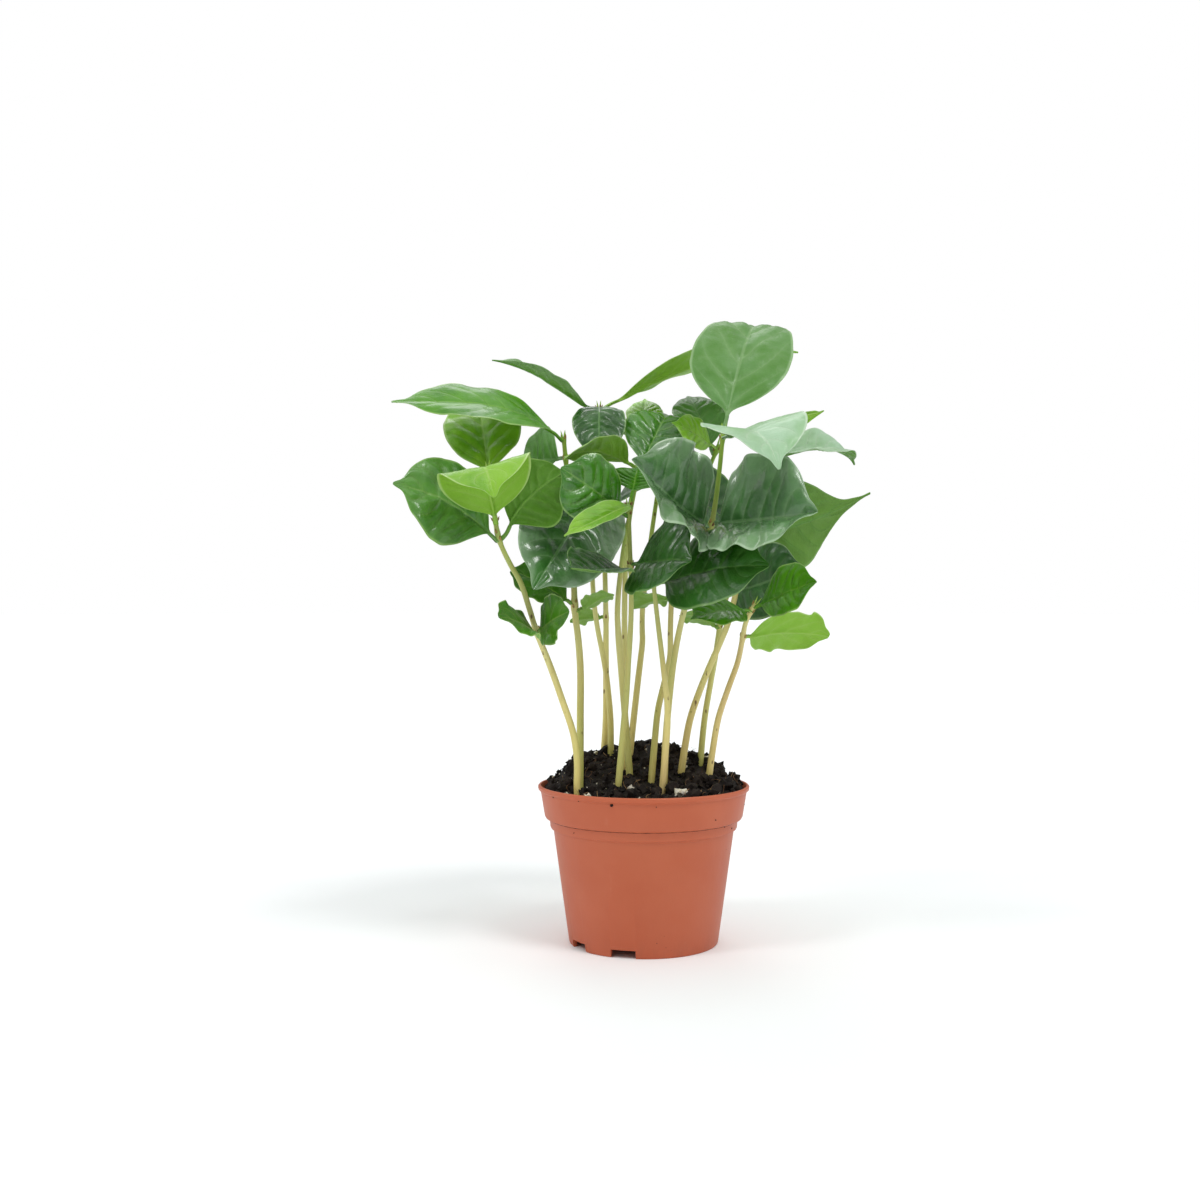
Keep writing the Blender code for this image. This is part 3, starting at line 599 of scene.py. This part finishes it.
LEAF_GREENS = {
    "deep": leaf_finish("deep_green_leaf", paint(48, 102, 32), paint(26, 76, 14),
                        paint(92, 140, 64), paint(136, 174, 104), paint(100, 142, 56),
                        wax=0.45, rough=0.3, bands=0.22),
    # Dark green with its outer part painted pale: a painted sheen standing in for the light's
    # reflection. The wax coat's gloss is real.
    "silver_painted_sheen": leaf_finish("silvery_painted_sheen_leaf", paint(60, 114, 48), paint(30, 82, 18),
                          paint(112, 158, 94), paint(178, 206, 168), paint(96, 144, 44),
                          wax=0.8, gloss=0.45, rough=0.26, bands=0.3, painted_sheen=0.3),
    # Grey-green painted paler all over, and paler still on its outer part: painted sheen standing
    # in for the light's reflection.
    "frost_painted_sheen": leaf_finish("frosted_painted_sheen_leaf", paint(88, 140, 78), paint(50, 104, 40),
                         paint(126, 168, 110), paint(186, 212, 178), paint(96, 144, 44),
                         wax=0.8, gloss=0.45, rough=0.26, bands=0.35, painted_sheen=0.35),
    "blue": leaf_finish("blue_green_leaf", paint(50, 98, 46), paint(32, 78, 26),
                        paint(112, 150, 100), paint(150, 180, 124), paint(92, 134, 44),
                        wax=0.2, bands=0.25),
    "mid": leaf_finish("green_leaf", paint(92, 148, 58), paint(62, 118, 34),
                       paint(118, 162, 72), paint(150, 188, 104), paint(80, 128, 32),
                       wax=0.5, rough=0.3, bands=0.25),
    "gloss": leaf_finish("glossy_leaf", paint(62, 130, 14), paint(42, 104, 8),
                         paint(118, 168, 70), paint(150, 192, 100), paint(88, 146, 20),
                         wax=0.5, gloss=0.5, rough=0.26),
    "fresh": leaf_finish("fresh_green_leaf", paint(80, 148, 12), paint(62, 128, 8),
                         paint(116, 170, 50), paint(168, 204, 116), paint(88, 146, 20),
                         wax=0.3, bands=0.2),
    "lime": leaf_finish("lime_leaf", paint(134, 190, 36), paint(108, 168, 24),
                        paint(160, 200, 90), paint(196, 222, 146), paint(132, 184, 52),
                        wax=0.3, gloss=0.45, rough=0.36, bands=0.25),
    "mint": leaf_finish("mint_leaf", paint(96, 146, 74), paint(80, 134, 46),
                        paint(130, 170, 108), paint(160, 194, 140), paint(84, 140, 24),
                        rough=0.4, bands=0.4),
    # Pale mint painted whitish: part of this is the leaf's own mint tone, and part is painted sheen
    # from the light overhead.
    "pale": leaf_finish("pale_mint_painted_sheen_leaf", paint(168, 204, 168), paint(144, 188, 136),
                        paint(186, 212, 180), paint(206, 224, 200), paint(84, 140, 24),
                        gloss=0.5, rough=0.36, bands=0.3),
    "seed": leaf_finish("seed_leaf_green", paint(76, 138, 22), paint(56, 112, 16),
                        paint(134, 172, 78), paint(168, 198, 118), paint(128, 172, 78),
                        bands=0.2),
}

# What differs from these two looks, leaf by leaf
PLAIN_LOOK = dict(green="deep")
SEED_LOOK = dict(green="seed", pairs=4, quilt=0.3, ruffle=0.8, stations=48, half=11)
LEAF_LOOKS = {
    "leaf_01_low_left": dict(green="mid", quilt=1.1),
    "leaf_01_low_right": dict(green="mid"),
    "leaf_01_top": dict(green="lime", pairs=5, quilt=1.0),
    "leaf_01_young": dict(green="lime", quilt=0.2, ruffle=0.2),
    "leaf_02_left": dict(green="fresh", quilt=0.3),
    "leaf_02_right": dict(green="mint"),
    "leaf_03_left": dict(green="mint", quilt=0.3),
    "leaf_03_right": dict(green="lime", quilt=0.3),
    "leaf_03_front": dict(pairs=8, quilt=1.0),
    "leaf_04_front": dict(green="silver_painted_sheen", quilt=1.0),
    "leaf_05_young": dict(green="lime", quilt=0.4),
    "leaf_05_top": dict(green="fresh"),
    "leaf_05_upper": dict(green="gloss", pairs=6, quilt=1.3),
    "leaf_06_left": dict(green="lime", quilt=0.5),
    "leaf_06_right": dict(green="gloss", pairs=8, quilt=1.0),
    "leaf_07_right": dict(green="lime"),
    "leaf_10_left": dict(green="lime"),
    "leaf_10_right": dict(green="mint"),
    "leaf_11_low_left": dict(green="silver_painted_sheen", quilt=0.9, ruffle=1.7),
    "leaf_11_low_right": dict(green="frost_painted_sheen", quilt=0.9, ruffle=1.5),
    "leaf_11_top_back": dict(green="mint", pairs=5, quilt=0.9, ruffle=0.35),
    "leaf_11_top_front": dict(green="pale", quilt=0.4),
    "leaf_12_top_front": dict(green="lime"),
    "leaf_12_top_right": dict(green="pale", quilt=0.5),
    "leaf_13_front": dict(green="blue", quilt=1.1),
    "leaf_14_left": dict(green="fresh"),
    "leaf_14_right": dict(green="fresh"),
    "seed_leaf_01_left": dict(ruffle=0.9),
    "seed_leaf_01_right": dict(ruffle=1.2),
    "seed_leaf_14_right": dict(green="lime", ruffle=1.0),
}


def make_leaves():
    for number, node in enumerate(leaf_nodes):
        usual = SEED_LOOK if node.startswith("seed") else PLAIN_LOOK
        look = usual | LEAF_LOOKS.get(node, {})
        upper, under = LEAF_GREENS[look.pop("green")]
        name = node.replace("leaf", "blade")
        placed(leaf_blade(name, node, upper, under, seed=number, **look), node)


# ---------------------------------------------------------------- stems

def stem_finish():
    """Young bark: straw-coloured at the foot and green at the top, streaked and flecked."""
    skin = Finish("young_bark", Specular_IOR_Level=0.4)
    height = skin.node("SeparateXYZ", {0: skin.place()}, output=2)
    streak = skin.cloud(300, 4, 0.6, skin.stretched(1, 1, 0.08))
    fleck = skin.cells(330, skin.stretched(1, 1, 0.45))
    spots = skin.cloud(160, 2)
    tint = skin.cloud(24, 1, 0.5, skin.stretched(1, 1, 0.3))
    base = skin.blend(height.between(0.07, 0.15), paint(234, 216, 132), paint(220, 214, 146))
    base = skin.blend(tint.between(0.52, 0.62) * 0.55, base, paint(220, 186, 132))
    base = skin.blend(tint.between(0.48, 0.38) * 0.6, base, paint(170, 182, 94))
    base = skin.blend(height.between(0.13, 0.21), base, paint(130, 166, 54))
    base = skin.blend(streak.between(0.4, 0.7) * 0.35, base, paint(198, 170, 94))
    base = skin.blend(fleck.between(0.2, 0.1) * spots.between(0.5, 0.6) * 0.85, base,
                      paint(92, 58, 28))
    skin.bump(streak + fleck * 0.3, 0.0003, 0.5)
    return skin.set(Base_Color=base, Roughness=0.42 + streak * 0.2)


def scale_finish(name, light, dark):
    """The finish of the scales and buds, between two colours."""
    skin = Finish(name, Specular_IOR_Level=0.35)
    tone = skin.cloud(500, 3)
    skin.bump(tone, 0.0003, 0.5)
    return skin.set(Base_Color=skin.blend(tone.between(0.35, 0.7), light, dark),
                    Roughness=0.5 + tone * 0.2)


def scale_shape(name, length, width):
    """A small pointed scale, round behind and drawn out to its tip, standing on its foot."""
    nothing_selected()
    bpy.ops.mesh.primitive_uv_sphere_add(segments=10, ring_count=8, radius=width)
    piece = bpy.context.object
    piece.name = name
    for vertex in piece.data.vertices:
        share = (vertex.co.z / width + 1) / 2
        drawn_in = 1 - 0.75 * share
        vertex.co.x *= drawn_in
        vertex.co.y *= drawn_in * 0.6
        vertex.co.z = length * share
    return piece


def standing(foot, direction, lean, toward):
    """Where a shape stands whose +Z points along direction, leant over towards a side."""
    way = Vector(direction).normalized()
    way = (way + Vector(toward).normalized() * math.tan(math.radians(lean))).normalized()
    return Matrix.Translation(Vector(foot)) @ way.to_track_quat("Z", "Y").to_matrix().to_4x4()


def end_buds(line):
    """The places of the two halves of the bud at a stem's tip."""
    ahead = unit(np.gradient(line, axis=0))[-1]
    side = unit(np.cross(ahead, np.array([0.0, 1.0, 0.0])))
    return [(0, standing(line[-1] - ahead * BUD_SINK + side * way * BUD_APART, ahead,
                         BUD_LEAN, way * side)) for way in (-1, 1)]


def stem_tube(line, thick, at, seed):
    """Rings of points round a stem's line, a little out of round."""
    ahead = unit(np.gradient(line, axis=0))
    side = unit(np.cross(ahead, np.array([0.0, 1.0, 0.0])))
    other = np.cross(ahead, side)
    turn = np.linspace(0, math.tau, STEM_SIDES, endpoint=False)
    rng = np.random.default_rng(seed)
    lobes = 1 + 0.05 * np.sin(2 * turn + rng.uniform(0, 6))[None, :] + 0.03 * np.sin(
        3 * turn[None, :] + 9 * at[:, None] + rng.uniform(0, 6))
    circle = (side[:, None] * np.cos(turn)[None, :, None]
              + other[:, None] * np.sin(turn)[None, :, None])
    return line[:, None] + circle * (thick[:, None] * lobes)[:, :, None]


def make_stems():
    """The stems, the scales that stand between each pair of leaves, and the buds at the tips."""
    bark = stem_finish()
    scales, buds = [], []
    starts = {leaf: leaf_rings(leaf)[0].mean(axis=0) for leaf in leaf_nodes}
    for node in stem_nodes:
        rings = section_rings(node, lambda point: point.z)
        centres = rings.mean(axis=1)
        radii = np.linalg.norm(rings - centres[:, None], axis=2).mean(axis=1)
        knots = length_along(centres)
        at = np.linspace(0, 1, STEM_RINGS)
        line = smooth_through(knots, centres, at)
        thick = smooth_through(knots, radii, at)
        length = np.linalg.norm(np.diff(line, axis=0), axis=1).sum()
        number = node[-2:]
        for leaf, start in starts.items():
            if f"_{number}" in leaf:
                k = int(np.argmin(np.linalg.norm(line - start, axis=1)))
                distance = (np.arange(len(at)) - k) / len(at) * length
                thick = thick + NODE_SWELL * np.exp(-(distance / NODE_REACH) ** 2)
                up = line[min(k + 1, len(line) - 1)] - line[k - 1]
                beside = unit(np.cross(up, start - line[k]))
                for way in (-1, 1):
                    foot = line[k] + way * beside * thick[k] * 0.75 - unit(up) * SCALE_SINK
                    scales.append((0, standing(foot, up, SCALE_LEAN, way * beside)))
        buds += end_buds(line)
        uv = np.zeros((len(at), STEM_SIDES + 1, 2))
        uv[:, :, 0] = np.linspace(0, 1, STEM_SIDES + 1)[None]
        uv[:, :, 1] = at[:, None]
        stem = rolled_sheet(f"shoot_{number}", stem_tube(line, thick, at, int(number)), uv,
                            np.zeros(STEM_SIDES), (bark,))
        placed(stem, node)
    scale, bud = scale_shape("scale", *SCALE_SIZE), scale_shape("bud", *BUD_SIZE)
    strewn("leaf_scales", (scale,), scales,
           scale_finish("dry_scale", paint(166, 138, 76), paint(92, 60, 30)))
    strewn("tip_buds", (bud,), buds,
           scale_finish("green_bud", paint(142, 186, 62), paint(176, 202, 104)))
    for shape in (scale, bud):
        bpy.data.objects.remove(shape, do_unlink=True)


# ---------------------------------------------------------------- pot

def pot_finish():
    """Terracotta-coloured plastic, a little scuffed and dusty, with rare specks of peat."""
    skin = Finish("terracotta_plastic", Specular_IOR_Level=0.45)
    fine = skin.cloud(1400, 3)
    haze = skin.cloud(38, 4)
    scuff = skin.cloud(220, 5, 0.7, skin.stretched(1, 1, 0.25))
    height = skin.node("SeparateXYZ", {0: skin.place()}, output=2)
    dust = height.between(0.012, 0.0) * scuff.between(0.45, 0.7)
    specks = skin.cells(260)
    rare = skin.cloud(90, 1)
    base = skin.blend(haze.between(0.3, 0.7) * 0.5, paint(191, 93, 57), paint(200, 106, 71))
    base = skin.blend(scuff.between(0.62, 0.8) * 0.25, base, paint(204, 128, 100))
    base = skin.blend(dust * 0.12, base, paint(120, 88, 68))
    base = skin.blend(specks.between(0.1, 0.05) * rare.between(0.66, 0.7) * 0.9, base,
                      paint(60, 40, 30))
    skin.bump(fine * 0.5 + scuff * 0.5, 0.00012, 0.5)
    return skin.set(Base_Color=base, Roughness=0.4 + scuff * 0.16)


def pot_section():
    """The pot's outline: from the middle of its underside out, up to the rim and back inside."""
    foot, recess, wall = POT_FOOT, POT_RECESS, POT_WALL
    rim, tall = pot_corner.x, pot_corner.z
    neck = rim - NECK_STEP
    shoulder = tall - SHOULDER_DROP
    band = tall - BAND_DROP
    return [
        (0.0, recess), (foot - 1.8 * MM, recess), (foot - 1.8 * MM, 0.0), (foot - 0.5 * MM, 0.0),
        (foot, 0.6 * MM), (neck - 0.4 * MM, shoulder - 0.4 * MM),
        (neck + 0.6 * MM, shoulder), (neck + 0.9 * MM, shoulder + 0.6 * MM),
        (neck + 1.2 * MM, band - 0.9 * MM), (rim - 3.3 * MM, band - 0.2 * MM),
        (rim - 2.8 * MM, band + 0.7 * MM), (rim - 1.1 * MM, tall - 2.6 * MM),
        (rim - 0.1 * MM, tall - 1.7 * MM), (rim, tall - 0.5 * MM), (rim - 0.4 * MM, tall),
        (rim - 1.1 * MM, tall), (rim - 1.5 * MM, tall - 1.4 * MM),
        (rim - 4.0 * MM, band + 1.4 * MM), (neck - wall, shoulder + 0.2 * MM),
        (foot - wall - 0.2 * MM, recess + wall + 0.8 * MM),
        (foot - wall - 1.2 * MM, recess + wall), (0.0, recess + wall),
    ]


def turned(name, section):
    """An outline spun once round the Z axis."""
    nothing_selected()
    bpy.ops.mesh.primitive_plane_add(size=1)
    piece = bpy.context.object
    piece.name = piece.data.name = name
    bpy.ops.object.mode_set(mode="EDIT")
    bpy.ops.mesh.delete(type="ONLY_FACE")
    bpy.ops.mesh.select_all(action="SELECT")
    bpy.ops.mesh.merge(type="CENTER")
    bpy.ops.transform.translate(value=(section[0][0], 0, section[0][1]))
    for before, after in zip(section, section[1:]):
        move = (after[0] - before[0], 0, after[1] - before[1])
        bpy.ops.mesh.extrude_vertices_move(TRANSFORM_OT_translate={"value": move})
    bpy.ops.mesh.select_all(action="SELECT")
    bpy.ops.mesh.spin(steps=POT_TURNS, angle=math.tau, center=(0, 0, 0), axis=(0, 0, 1))
    bpy.ops.mesh.select_all(action="SELECT")
    bpy.ops.mesh.remove_doubles(threshold=1e-6)
    bpy.ops.mesh.normals_make_consistent(inside=False)
    bpy.ops.object.mode_set(mode="OBJECT")
    return piece


def make_pot():
    """The pot's moulded shell, turned from its section; the notches and holes are cut out."""
    pot = turned("pot_shell", pot_section())
    for azimuth in NOTCH_AZIMUTHS:
        turn = math.radians(azimuth)
        nothing_selected()
        bpy.ops.mesh.primitive_cube_add(size=1, location=(POT_FOOT * math.cos(turn),
                                                          POT_FOOT * math.sin(turn), 0),
                                        rotation=(0, 0, turn), scale=NOTCH_SIZE)
        cut_out(pot, bpy.context.object)
    for number in range(HOLES):
        turn = math.radians(NOTCH_AZIMUTHS[0] + 360 / HOLES * number)
        nothing_selected()
        bpy.ops.mesh.primitive_cylinder_add(vertices=32, radius=HOLE_RADIUS, depth=4 * MM,
                                            location=(HOLE_RING * math.cos(turn),
                                                      HOLE_RING * math.sin(turn), POT_RECESS))
        cut_out(pot, bpy.context.object)
    only(pot)
    rounded = pot.modifiers.new("moulded edges", "BEVEL")
    rounded.width = MOULDED_EDGE
    rounded.segments = 2
    rounded.limit_method = "ANGLE"
    rounded.angle_limit = math.radians(50)
    bpy.ops.object.modifier_apply(modifier=rounded.name)
    smoothed(pot, 35)
    pot.data.materials.clear()
    pot.data.materials.append(pot_finish())
    placed(pot, "grow_pot")


def cut_out(piece, cutter):
    """Take the cutter's shape out of the piece, then throw the cutter away."""
    only(piece)
    cut = piece.modifiers.new("cut", "BOOLEAN")
    cut.operation = "DIFFERENCE"
    cut.solver = "EXACT"
    cut.object = cutter
    bpy.ops.object.modifier_apply(modifier=cut.name)
    bpy.data.objects.remove(cutter, do_unlink=True)


# ---------------------------------------------------------------- soil

def peat_finish():
    """Dark crumbling peat with browner grains."""
    skin = Finish("dark_peat", Specular_IOR_Level=0.3)
    grain = skin.cloud(700, 5, 0.65)
    patch = skin.cloud(90, 3)
    base = skin.blend(patch.between(0.35, 0.7), paint(25, 19, 16), paint(44, 34, 28))
    base = skin.blend(grain.between(0.6, 0.78) * 0.45, base, paint(86, 66, 50))
    skin.bump(grain, 0.0012, 0.9)
    return skin.set(Base_Color=base, Roughness=0.75 + patch * 0.2)


def perlite_finish():
    """Rough white grains, yellowish in places."""
    skin = Finish("white_grain", Specular_IOR_Level=0.3)
    grain = skin.cloud(900, 4)
    base = skin.blend(grain.between(0.4, 0.65), paint(232, 226, 210), paint(196, 184, 156))
    skin.bump(grain, 0.0006, 0.8)
    return skin.set(Base_Color=base, Roughness=0.8)


def fibre_finish():
    """Dry root fibres, brown to straw-coloured."""
    skin = Finish("peat_fibre", Specular_IOR_Level=0.3)
    tone = skin.cloud(240, 2)
    base = skin.blend(tone.between(0.35, 0.65), paint(96, 64, 40), paint(176, 140, 98))
    return skin.set(Base_Color=base, Roughness=0.75)


def make_soil_bed(peat):
    """The soil's block, remeshed into small faces and roughened on top by noise."""
    bed = bpy.data.objects.new("peat_bed", nodes["soil"].data.copy())
    bpy.context.collection.objects.link(bed)
    only(bed)
    bpy.ops.object.mode_set(mode="EDIT")
    bpy.ops.mesh.select_all(action="SELECT")
    bpy.ops.mesh.remove_doubles(threshold=1e-6)
    bpy.ops.object.mode_set(mode="OBJECT")
    remesh = bed.modifiers.new("even faces", "REMESH")
    remesh.mode = "VOXEL"
    remesh.voxel_size = BED_GRID
    bpy.ops.object.modifier_apply(modifier=remesh.name)
    mesh = bed.data
    for vertex in mesh.vertices:
        place = vertex.co
        if place.z > pot_corner.z - BED_SURFACE_DEPTH:
            rough = fractal(place * 260, 0.9, 2.1, 4) * 1.1 + abs(noise(place * 120)) * 1.6
            place.z += rough * MM
    mesh.materials.clear()
    mesh.materials.append(peat)
    smoothed(bed, 60)
    return placed(bed, "soil")


def lump(name, seed):
    """One crumb about one unit in radius: a ball pulled out of shape."""
    nothing_selected()
    bpy.ops.mesh.primitive_ico_sphere_add(subdivisions=2, radius=1)
    piece = bpy.context.object
    shift = Vector((seed * 7.1, seed * 3.3, seed * 5.7))
    for vertex in piece.data.vertices:
        direction = vertex.co.normalized()
        stretch = 1 + 0.8 * noise(direction * 1.7 + shift) + 0.7 * noise(direction * 4 + shift)
        vertex.co = vertex.co * stretch
        vertex.co.z *= CLOD_SQUASH
    piece.name = name
    return piece


def strewn(name, shapes, places, material):
    """Copies of the shapes at the places, joined into one piece."""
    shape = bmesh.new()
    for source, matrix in places:
        made = bmesh.new()
        made.from_mesh(shapes[source].data)
        made.transform(matrix)
        mesh = bpy.data.meshes.new("crumb")
        made.to_mesh(mesh)
        made.free()
        shape.from_mesh(mesh)
        bpy.data.meshes.remove(mesh)
    mesh = bpy.data.meshes.new(name)
    shape.to_mesh(mesh)
    shape.free()
    piece = bpy.data.objects.new(name, mesh)
    bpy.context.collection.objects.link(piece)
    mesh.materials.append(material)
    smoothed(piece, 50)
    return placed(piece, None)


def fibre_shape(name, seed):
    """A thin bent root fibre about one unit long, lying along X."""
    rng = np.random.default_rng(seed)
    along = np.linspace(0, 1, FIBRE_RINGS)
    bends = rng.uniform(-0.22, 0.22, 4)
    line = np.stack([along - 0.5,
                     bends[0] * np.sin(math.pi * along) + bends[1] * np.sin(math.tau * along),
                     bends[2] * np.sin(math.pi * along) + bends[3] * np.sin(math.tau * along)], 1)
    turn = np.linspace(0, math.tau, FIBRE_SIDES, endpoint=False)
    circle = np.stack([np.zeros(FIBRE_SIDES), np.cos(turn), np.sin(turn)], 1)
    thick = FIBRE_RADIUS * (1 - 0.5 * along)
    rings = line[:, None] + circle[None] * thick[:, None, None]
    uv = np.zeros((FIBRE_RINGS, FIBRE_SIDES + 1, 2))
    return rolled_sheet(name, rings, uv, np.zeros(FIBRE_SIDES), ())


def ground_below(tree, x, y):
    """The point of the bed's surface at x and y."""
    return tree.ray_cast(Vector((x, y, DROP_HEIGHT)), Vector((0, 0, -1)))[0]


def tumbled(rng, place, size, lift):
    """A shape of one unit thrown down at a place: turned at random, sized and raised a little."""
    spin = Euler(rng.uniform(0, math.tau, 3)).to_matrix().to_4x4()
    return (Matrix.Translation(place + Vector((0, 0, size * lift))) @ spin
            @ Matrix.Scale(size, 4))


def make_soil():
    """The peat's bed with its clods, white grains and fibres, and the crumbs left on the pot."""
    peat, white, fibre = peat_finish(), perlite_finish(), fibre_finish()
    tree = BVHTree.FromObject(make_soil_bed(peat), bpy.context.evaluated_depsgraph_get())
    rng = np.random.default_rng(11)
    reach = pot_corner.x - BED_MARGIN

    def anywhere(inner, outer):
        """A point of the bed between two shares of its radius."""
        radius = reach * math.sqrt(rng.uniform(inner ** 2, outer ** 2))
        turn = rng.uniform(0, math.tau)
        return ground_below(tree, radius * math.cos(turn), radius * math.sin(turn))

    clods = [lump(f"clod_{k}", k) for k in range(CLOD_SHAPES)]
    places = [(k % CLOD_SHAPES,
               tumbled(rng, anywhere(0, 0.985), MM * (0.6 + 1.9 * rng.uniform() ** 3), 0.3))
              for k in range(FINE_CLODS)]
    places += [(k % CLOD_SHAPES,
                tumbled(rng, anywhere(0.5, 0.95), MM * rng.uniform(1.4, 3.0), 0.5))
               for k in range(COARSE_CLODS)]
    strewn("peat_clods", clods, places, peat)
    places = [(k % CLOD_SHAPES,
               tumbled(rng, anywhere(0, 0.96), MM * (0.2 + 0.7 * rng.uniform() ** 3), 0.8))
              for k in range(SMALL_GRAINS)]
    places += [(k % CLOD_SHAPES,
                tumbled(rng, ground_below(tree, x * MM, y * MM), size * MM, 0.75))
               for k, (x, y, size) in enumerate(LARGE_GRAINS)]
    strewn("perlite", clods, places, white)
    fibres = [fibre_shape(f"fibre_{k}", k) for k in range(FIBRE_SHAPES)]
    places = [(k % FIBRE_SHAPES, tumbled(rng, anywhere(0, 0.95), MM * rng.uniform(3, 8), 0.16))
              for k in range(FIBRES)]
    strewn("root_fibres", fibres, places, fibre)
    strewn("rim_crumbs", clods, rim_crumb_places(rng), peat)
    for shape in clods + fibres:
        bpy.data.objects.remove(shape, do_unlink=True)


def rim_crumb_places(rng):
    """Where crumbs stick to the outside of the pot, near its rim."""
    pot_skin = BVHTree.FromObject(bpy.data.objects["pot_shell"],
                                  bpy.context.evaluated_depsgraph_get())
    places = []
    for k in range(RIM_CRUMBS):
        turn = rng.uniform(0, math.tau)
        outward = Vector((math.cos(turn), math.sin(turn), 0))
        height = pot_corner.z - rng.uniform(0.8, 19) * MM
        crumb = pot_skin.ray_cast(outward * 0.1 + Vector((0, 0, height)), -outward)[0]
        places.append((k % CLOD_SHAPES, tumbled(rng, crumb, MM * rng.uniform(0.2, 0.45), 0)))
    return places


# ---------------------------------------------------------------- stage, lights and camera

def make_floor():
    """A wide pale floor under the pot."""
    nothing_selected()
    bpy.ops.mesh.primitive_circle_add(vertices=96, radius=FLOOR_RADIUS, fill_type="NGON")
    floor = bpy.context.object
    floor.name = "floor"
    skin = Finish("pale_floor", Roughness=0.9, Specular_IOR_Level=0.0)
    floor.data.materials.append(skin.set(Base_Color=FLOOR_COLOUR))


def make_studio():
    """A white studio: a dome that brightens upwards, white to the camera, and far soft lamps."""
    world = bpy.data.worlds.new("studio")
    bpy.context.scene.world = world
    world.use_nodes = True
    dome = Workings(world.node_tree)
    height = dome.node("SeparateXYZ", {0: dome.node("TexCoord", output=0)}, output=2)
    glow = DOME_LOW + height.between(0.10, 0.90) * DOME_RISE
    seen = dome.node("LightPath", output=0)
    background = world.node_tree.nodes["Background"]
    background.inputs["Color"].default_value = (1, 1, 1, 1)
    dome.fill(background.inputs["Strength"], seen + (1 - seen) * glow)
    for name, direction, width, light in STUDIO_LAMPS:
        source = bpy.data.lights.new(name, "SUN")
        source.angle = math.radians(width)
        source.energy = light
        lamp = bpy.data.objects.new(name, source)
        bpy.context.collection.objects.link(lamp)
        lamp.rotation_euler = Vector(direction).to_track_quat("Z", "Y").to_euler()


def make_camera():
    """The camera looks level at the plant from the front."""
    data = bpy.data.cameras.new("camera")
    data.lens = CAMERA_LENS
    data.sensor_width = SENSOR_WIDTH
    camera = bpy.data.objects.new("camera", data)
    bpy.context.collection.objects.link(camera)
    camera.location = CAMERA_PLACE
    camera.rotation_euler = (math.radians(90), 0, 0)
    bpy.context.scene.camera = camera
    bpy.context.scene.view_settings.view_transform = "Standard"


make_floor()
make_studio()
make_camera()
make_pot()
make_soil()
make_stems()
make_leaves()
